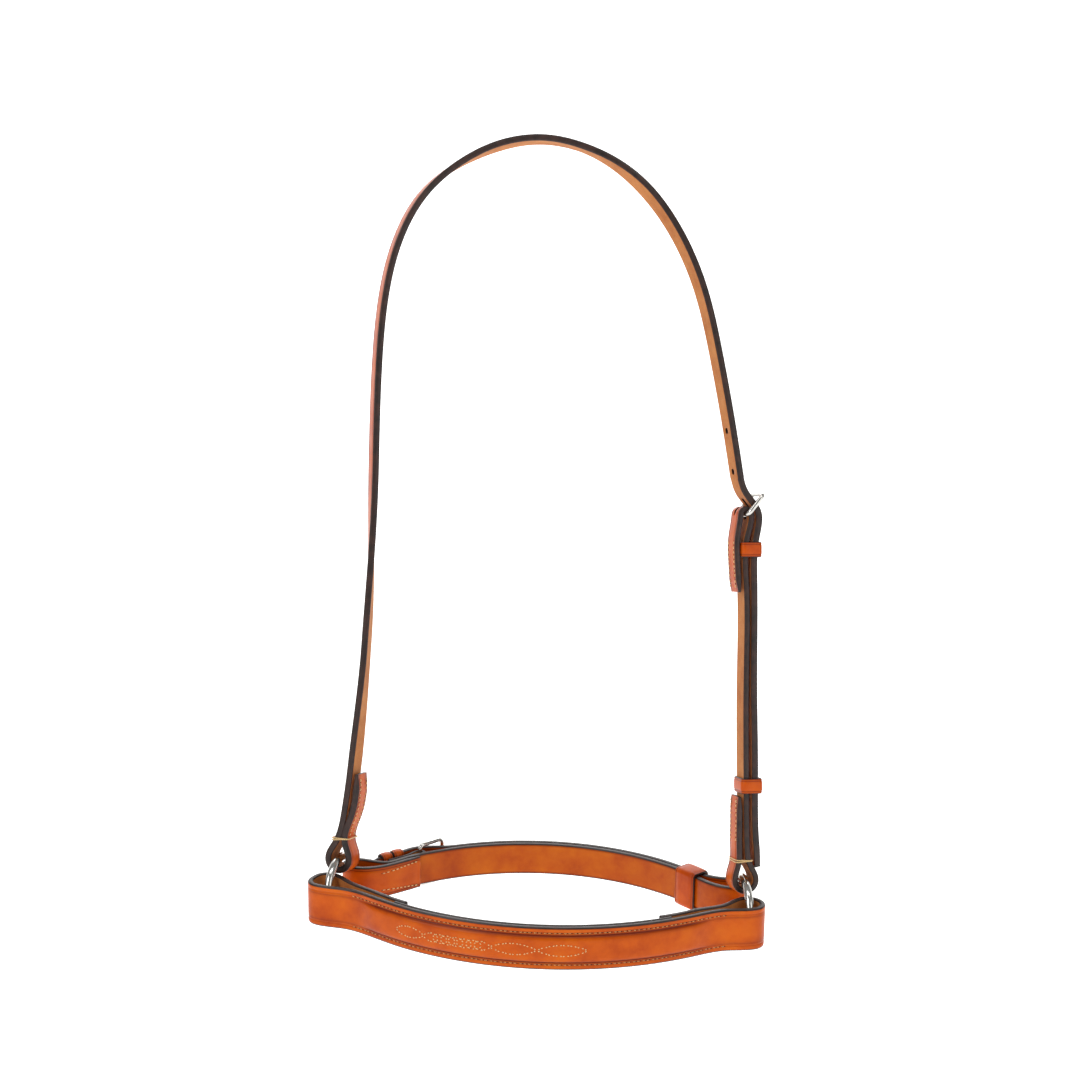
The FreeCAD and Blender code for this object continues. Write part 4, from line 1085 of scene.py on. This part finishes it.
lean = math.radians(51.4)
cheek_place = on_side(cheek_side, *buckle_bar) @ Matrix.Rotation(-lean, 4, "Y")
buckle_frame("cheek_buckle_frame_nickel", CHEEK_REACH, CROWN_WIDTH + BUCKLE_ROOM + BUCKLE_WIRE, cheek_place,
             "cheek_buckle", "cheek_buckle_frame")
buckle_tongue("cheek_buckle_tongue_nickel", CHEEK_REACH, cheek_place @ Matrix.Rotation(math.pi, 4, "X"),
              "cheek_tongue", "cheek_buckle_tongue")
chin_place = nose_frame @ Matrix.Translation((bar_spot[0] * MM, bar_spot[1] * MM, 0))
chin_place = chin_place @ Matrix.Rotation(reach_angle, 4, "Z") @ Matrix.Rotation(math.radians(-90), 4, "X")
buckle_frame("chin_buckle_frame_nickel", chin_reach, CHIN_WIDTH + BUCKLE_ROOM + BUCKLE_WIRE, chin_place,
             "chin_buckle", "chin_buckle_frame")
buckle_tongue("chin_buckle_tongue_nickel", chin_reach, chin_place, "chin_tongue", "chin_buckle_tongue")

# %% [markdown]
# ## Strap sewing and bindings
# Each lap is held by two rows that draw together toward the ring, and the thread is finally
# wound twice round the loop's neck, which pinches it close to the ring.

# %% Strap stitches
lap_rows = []
past_loop = 150                               # stations from here on are clear of the left loop
lap_top = left_side @ Vector(((-RING_GAP + 7.4) * MM, 0, (left_neck + 41.7) * MM))
start = crown_stations[nearest(crown_stations[past_loop:], lap_top) + past_loop][4] / MM
for side in (1, -1):
    lap_rows += seam_spots(crown_stations, 3.0, 38.0, side * 4.3, CROWN_THICK / 2,
                           slant=side * 14, spread=-side * 1.6)
    lap_rows += seam_spots(crown_stations, start - 36.0, start - 2.0, side * 3.6, CROWN_THICK / 2,
                           spread=side * 0.8)
sew("crown_lap_thread", lap_rows, "headpiece", length=1.9, thick=0.66)
chape_rows = []
for side in (1, -1):
    chape_rows += seam_spots(cheek_stations, 3.0, 30.0, side * 4.4, CHEEK_THICK / 2)
    chape_rows += seam_spots(cheek_stations, cheek_long - 26.0, cheek_long - 2.0, side * 4.4, CHEEK_THICK / 2)
sew("cheek_lap_thread", chape_rows, "headpiece", length=1.9, thick=0.66)
chin_rows = []
for side in (1, -1):
    chin_rows += seam_spots(chin_stations, 2.5, 27.0, side * 7.6, CHIN_THICK / 2, spread=-side * 2.4)
sew("chin_lap_thread", chin_rows, "chin_piece", length=1.9, thick=0.66)


# %% Thread bindings
def binding(name, inner_wide, inner_tall, place, node):
    """Two turns of thread round a loop's neck, drawn tight and a little askew."""
    corners, faces = [], []
    sides = 8
    for wrap, askew in ((-0.3, 0.07), (0.35, -0.05)):
        line = loop_line(inner_wide + 0.2, inner_tall - 0.1, 1.6)
        start = len(corners)
        for x, y, nx, ny in line:
            for k in range(sides):
                a = 2 * math.pi * k / sides
                r = 0.36 * math.cos(a)
                z = wrap + askew * x + 0.36 * math.sin(a)
                corners.append(place @ Vector(((x + nx * r) * MM, (y + ny * r) * MM, z * MM)))
        for i in range(len(line)):
            j = (i + 1) % len(line)
            for k in range(sides):
                faces.append((start + i * sides + k, start + i * sides + (k + 1) % sides,
                              start + j * sides + (k + 1) % sides, start + j * sides + k))
    piece = build(name, corners, faces, [0] * len(faces), [cream_thread])
    return place_piece(piece, "headpiece", "linen_thread", node)


binding("crown_loop_binding_thread", 2 * CROWN_THICK + 3.2, KEEPER_INSIDE,
        on_side(left_side, -RING_GAP + 1.5, left_neck + 2.6), "crown_loop_binding")
binding("cheek_loop_binding_thread", 2 * CHEEK_THICK + 3.3, KEEPER_INSIDE,
        on_side(cheek_side, RING_GAP - 0.8, neck + 1.8), "cheek_loop_binding")

# %% [markdown]
# ## Stage and light
# The object hangs in front of a seamless white sweep. One broad, soft light stands high at the
# left, a weaker one fills from the right, and a strip from above puts the long highlight on the
# waxed nosepiece. The world is a pale, even grey white, as in a light tent.

# %% Stage
stage, stage_tree = blank("matt_white_paper_sweep")
paper = add(stage_tree, "ShaderNodeTexNoise", {"Scale": 3.0})
paper_tone = two_tones(stage_tree, paper, "#fcfcfc", "#f7f7f7")
paper_shade = add(stage_tree, "ShaderNodeBsdfPrincipled",
                  {"Roughness": 0.9, "Emission Color": (1, 1, 1, 1), "Emission Strength": 0.5},
                  {"Base Color": paper_tone.outputs["Color"]})
add(stage_tree, "ShaderNodeOutputMaterial", {}, {"Surface": paper_shade.outputs["BSDF"]})
sweep_line = [(-6.0, -0.62), (1.0, -0.62)]
sweep_line += [(1.0 + 1.2 * math.sin(a), -0.62 + 1.2 * (1 - math.cos(a)))
               for a in np.radians(np.linspace(8, 82, 12))]
sweep_line += [(2.2, 0.6), (2.2, 4.0)]
paper_corners = [(x, y, z) for y, z in sweep_line for x in (-6.0, 6.0)]
paper_faces = [(2 * i, 2 * i + 1, 2 * i + 3, 2 * i + 2) for i in range(len(sweep_line) - 1)]
backdrop = build("white_sweep", paper_corners, paper_faces, [0] * len(paper_faces), [stage])

world = bpy.data.worlds.new("light_tent")
bpy.context.scene.world = world
world.use_nodes = True
tent = world.node_tree.nodes["Background"]
tent.inputs["Color"].default_value = (1.0, 1.0, 1.0, 1.0)
tent.inputs["Strength"].default_value = 0.3


def soft_light(name, place, aim, wide, tall, power):
    """A rectangular soft box that looks at a place."""
    lamp = bpy.data.lights.new(name, "AREA")
    lamp.shape, lamp.size, lamp.size_y, lamp.energy = "RECTANGLE", wide, tall, power
    box = bpy.data.objects.new(name, lamp)
    bpy.context.scene.collection.objects.link(box)
    box.location = place
    box.rotation_euler = (Vector(aim) - Vector(place)).to_track_quat("-Z", "Y").to_euler()
    return box


soft_light("key_left", (-1.3, -1.6, 0.7), (0, 0, -0.3), 1.2, 1.2, 17.0)
soft_light("fill_right", (1.6, -1.2, 0.1), (0, 0, -0.3), 1.0, 1.4, 6.0)
soft_light("strip_top", (0.0, -0.7, 1.0), (0, 0, -0.4), 1.6, 0.3, 6.0)
soft_light("back_wash", (0.0, 1.0, 1.6), (0, 2.0, -0.3), 2.5, 0.8, 30.0)
bpy.context.scene.view_settings.view_transform = "Standard"
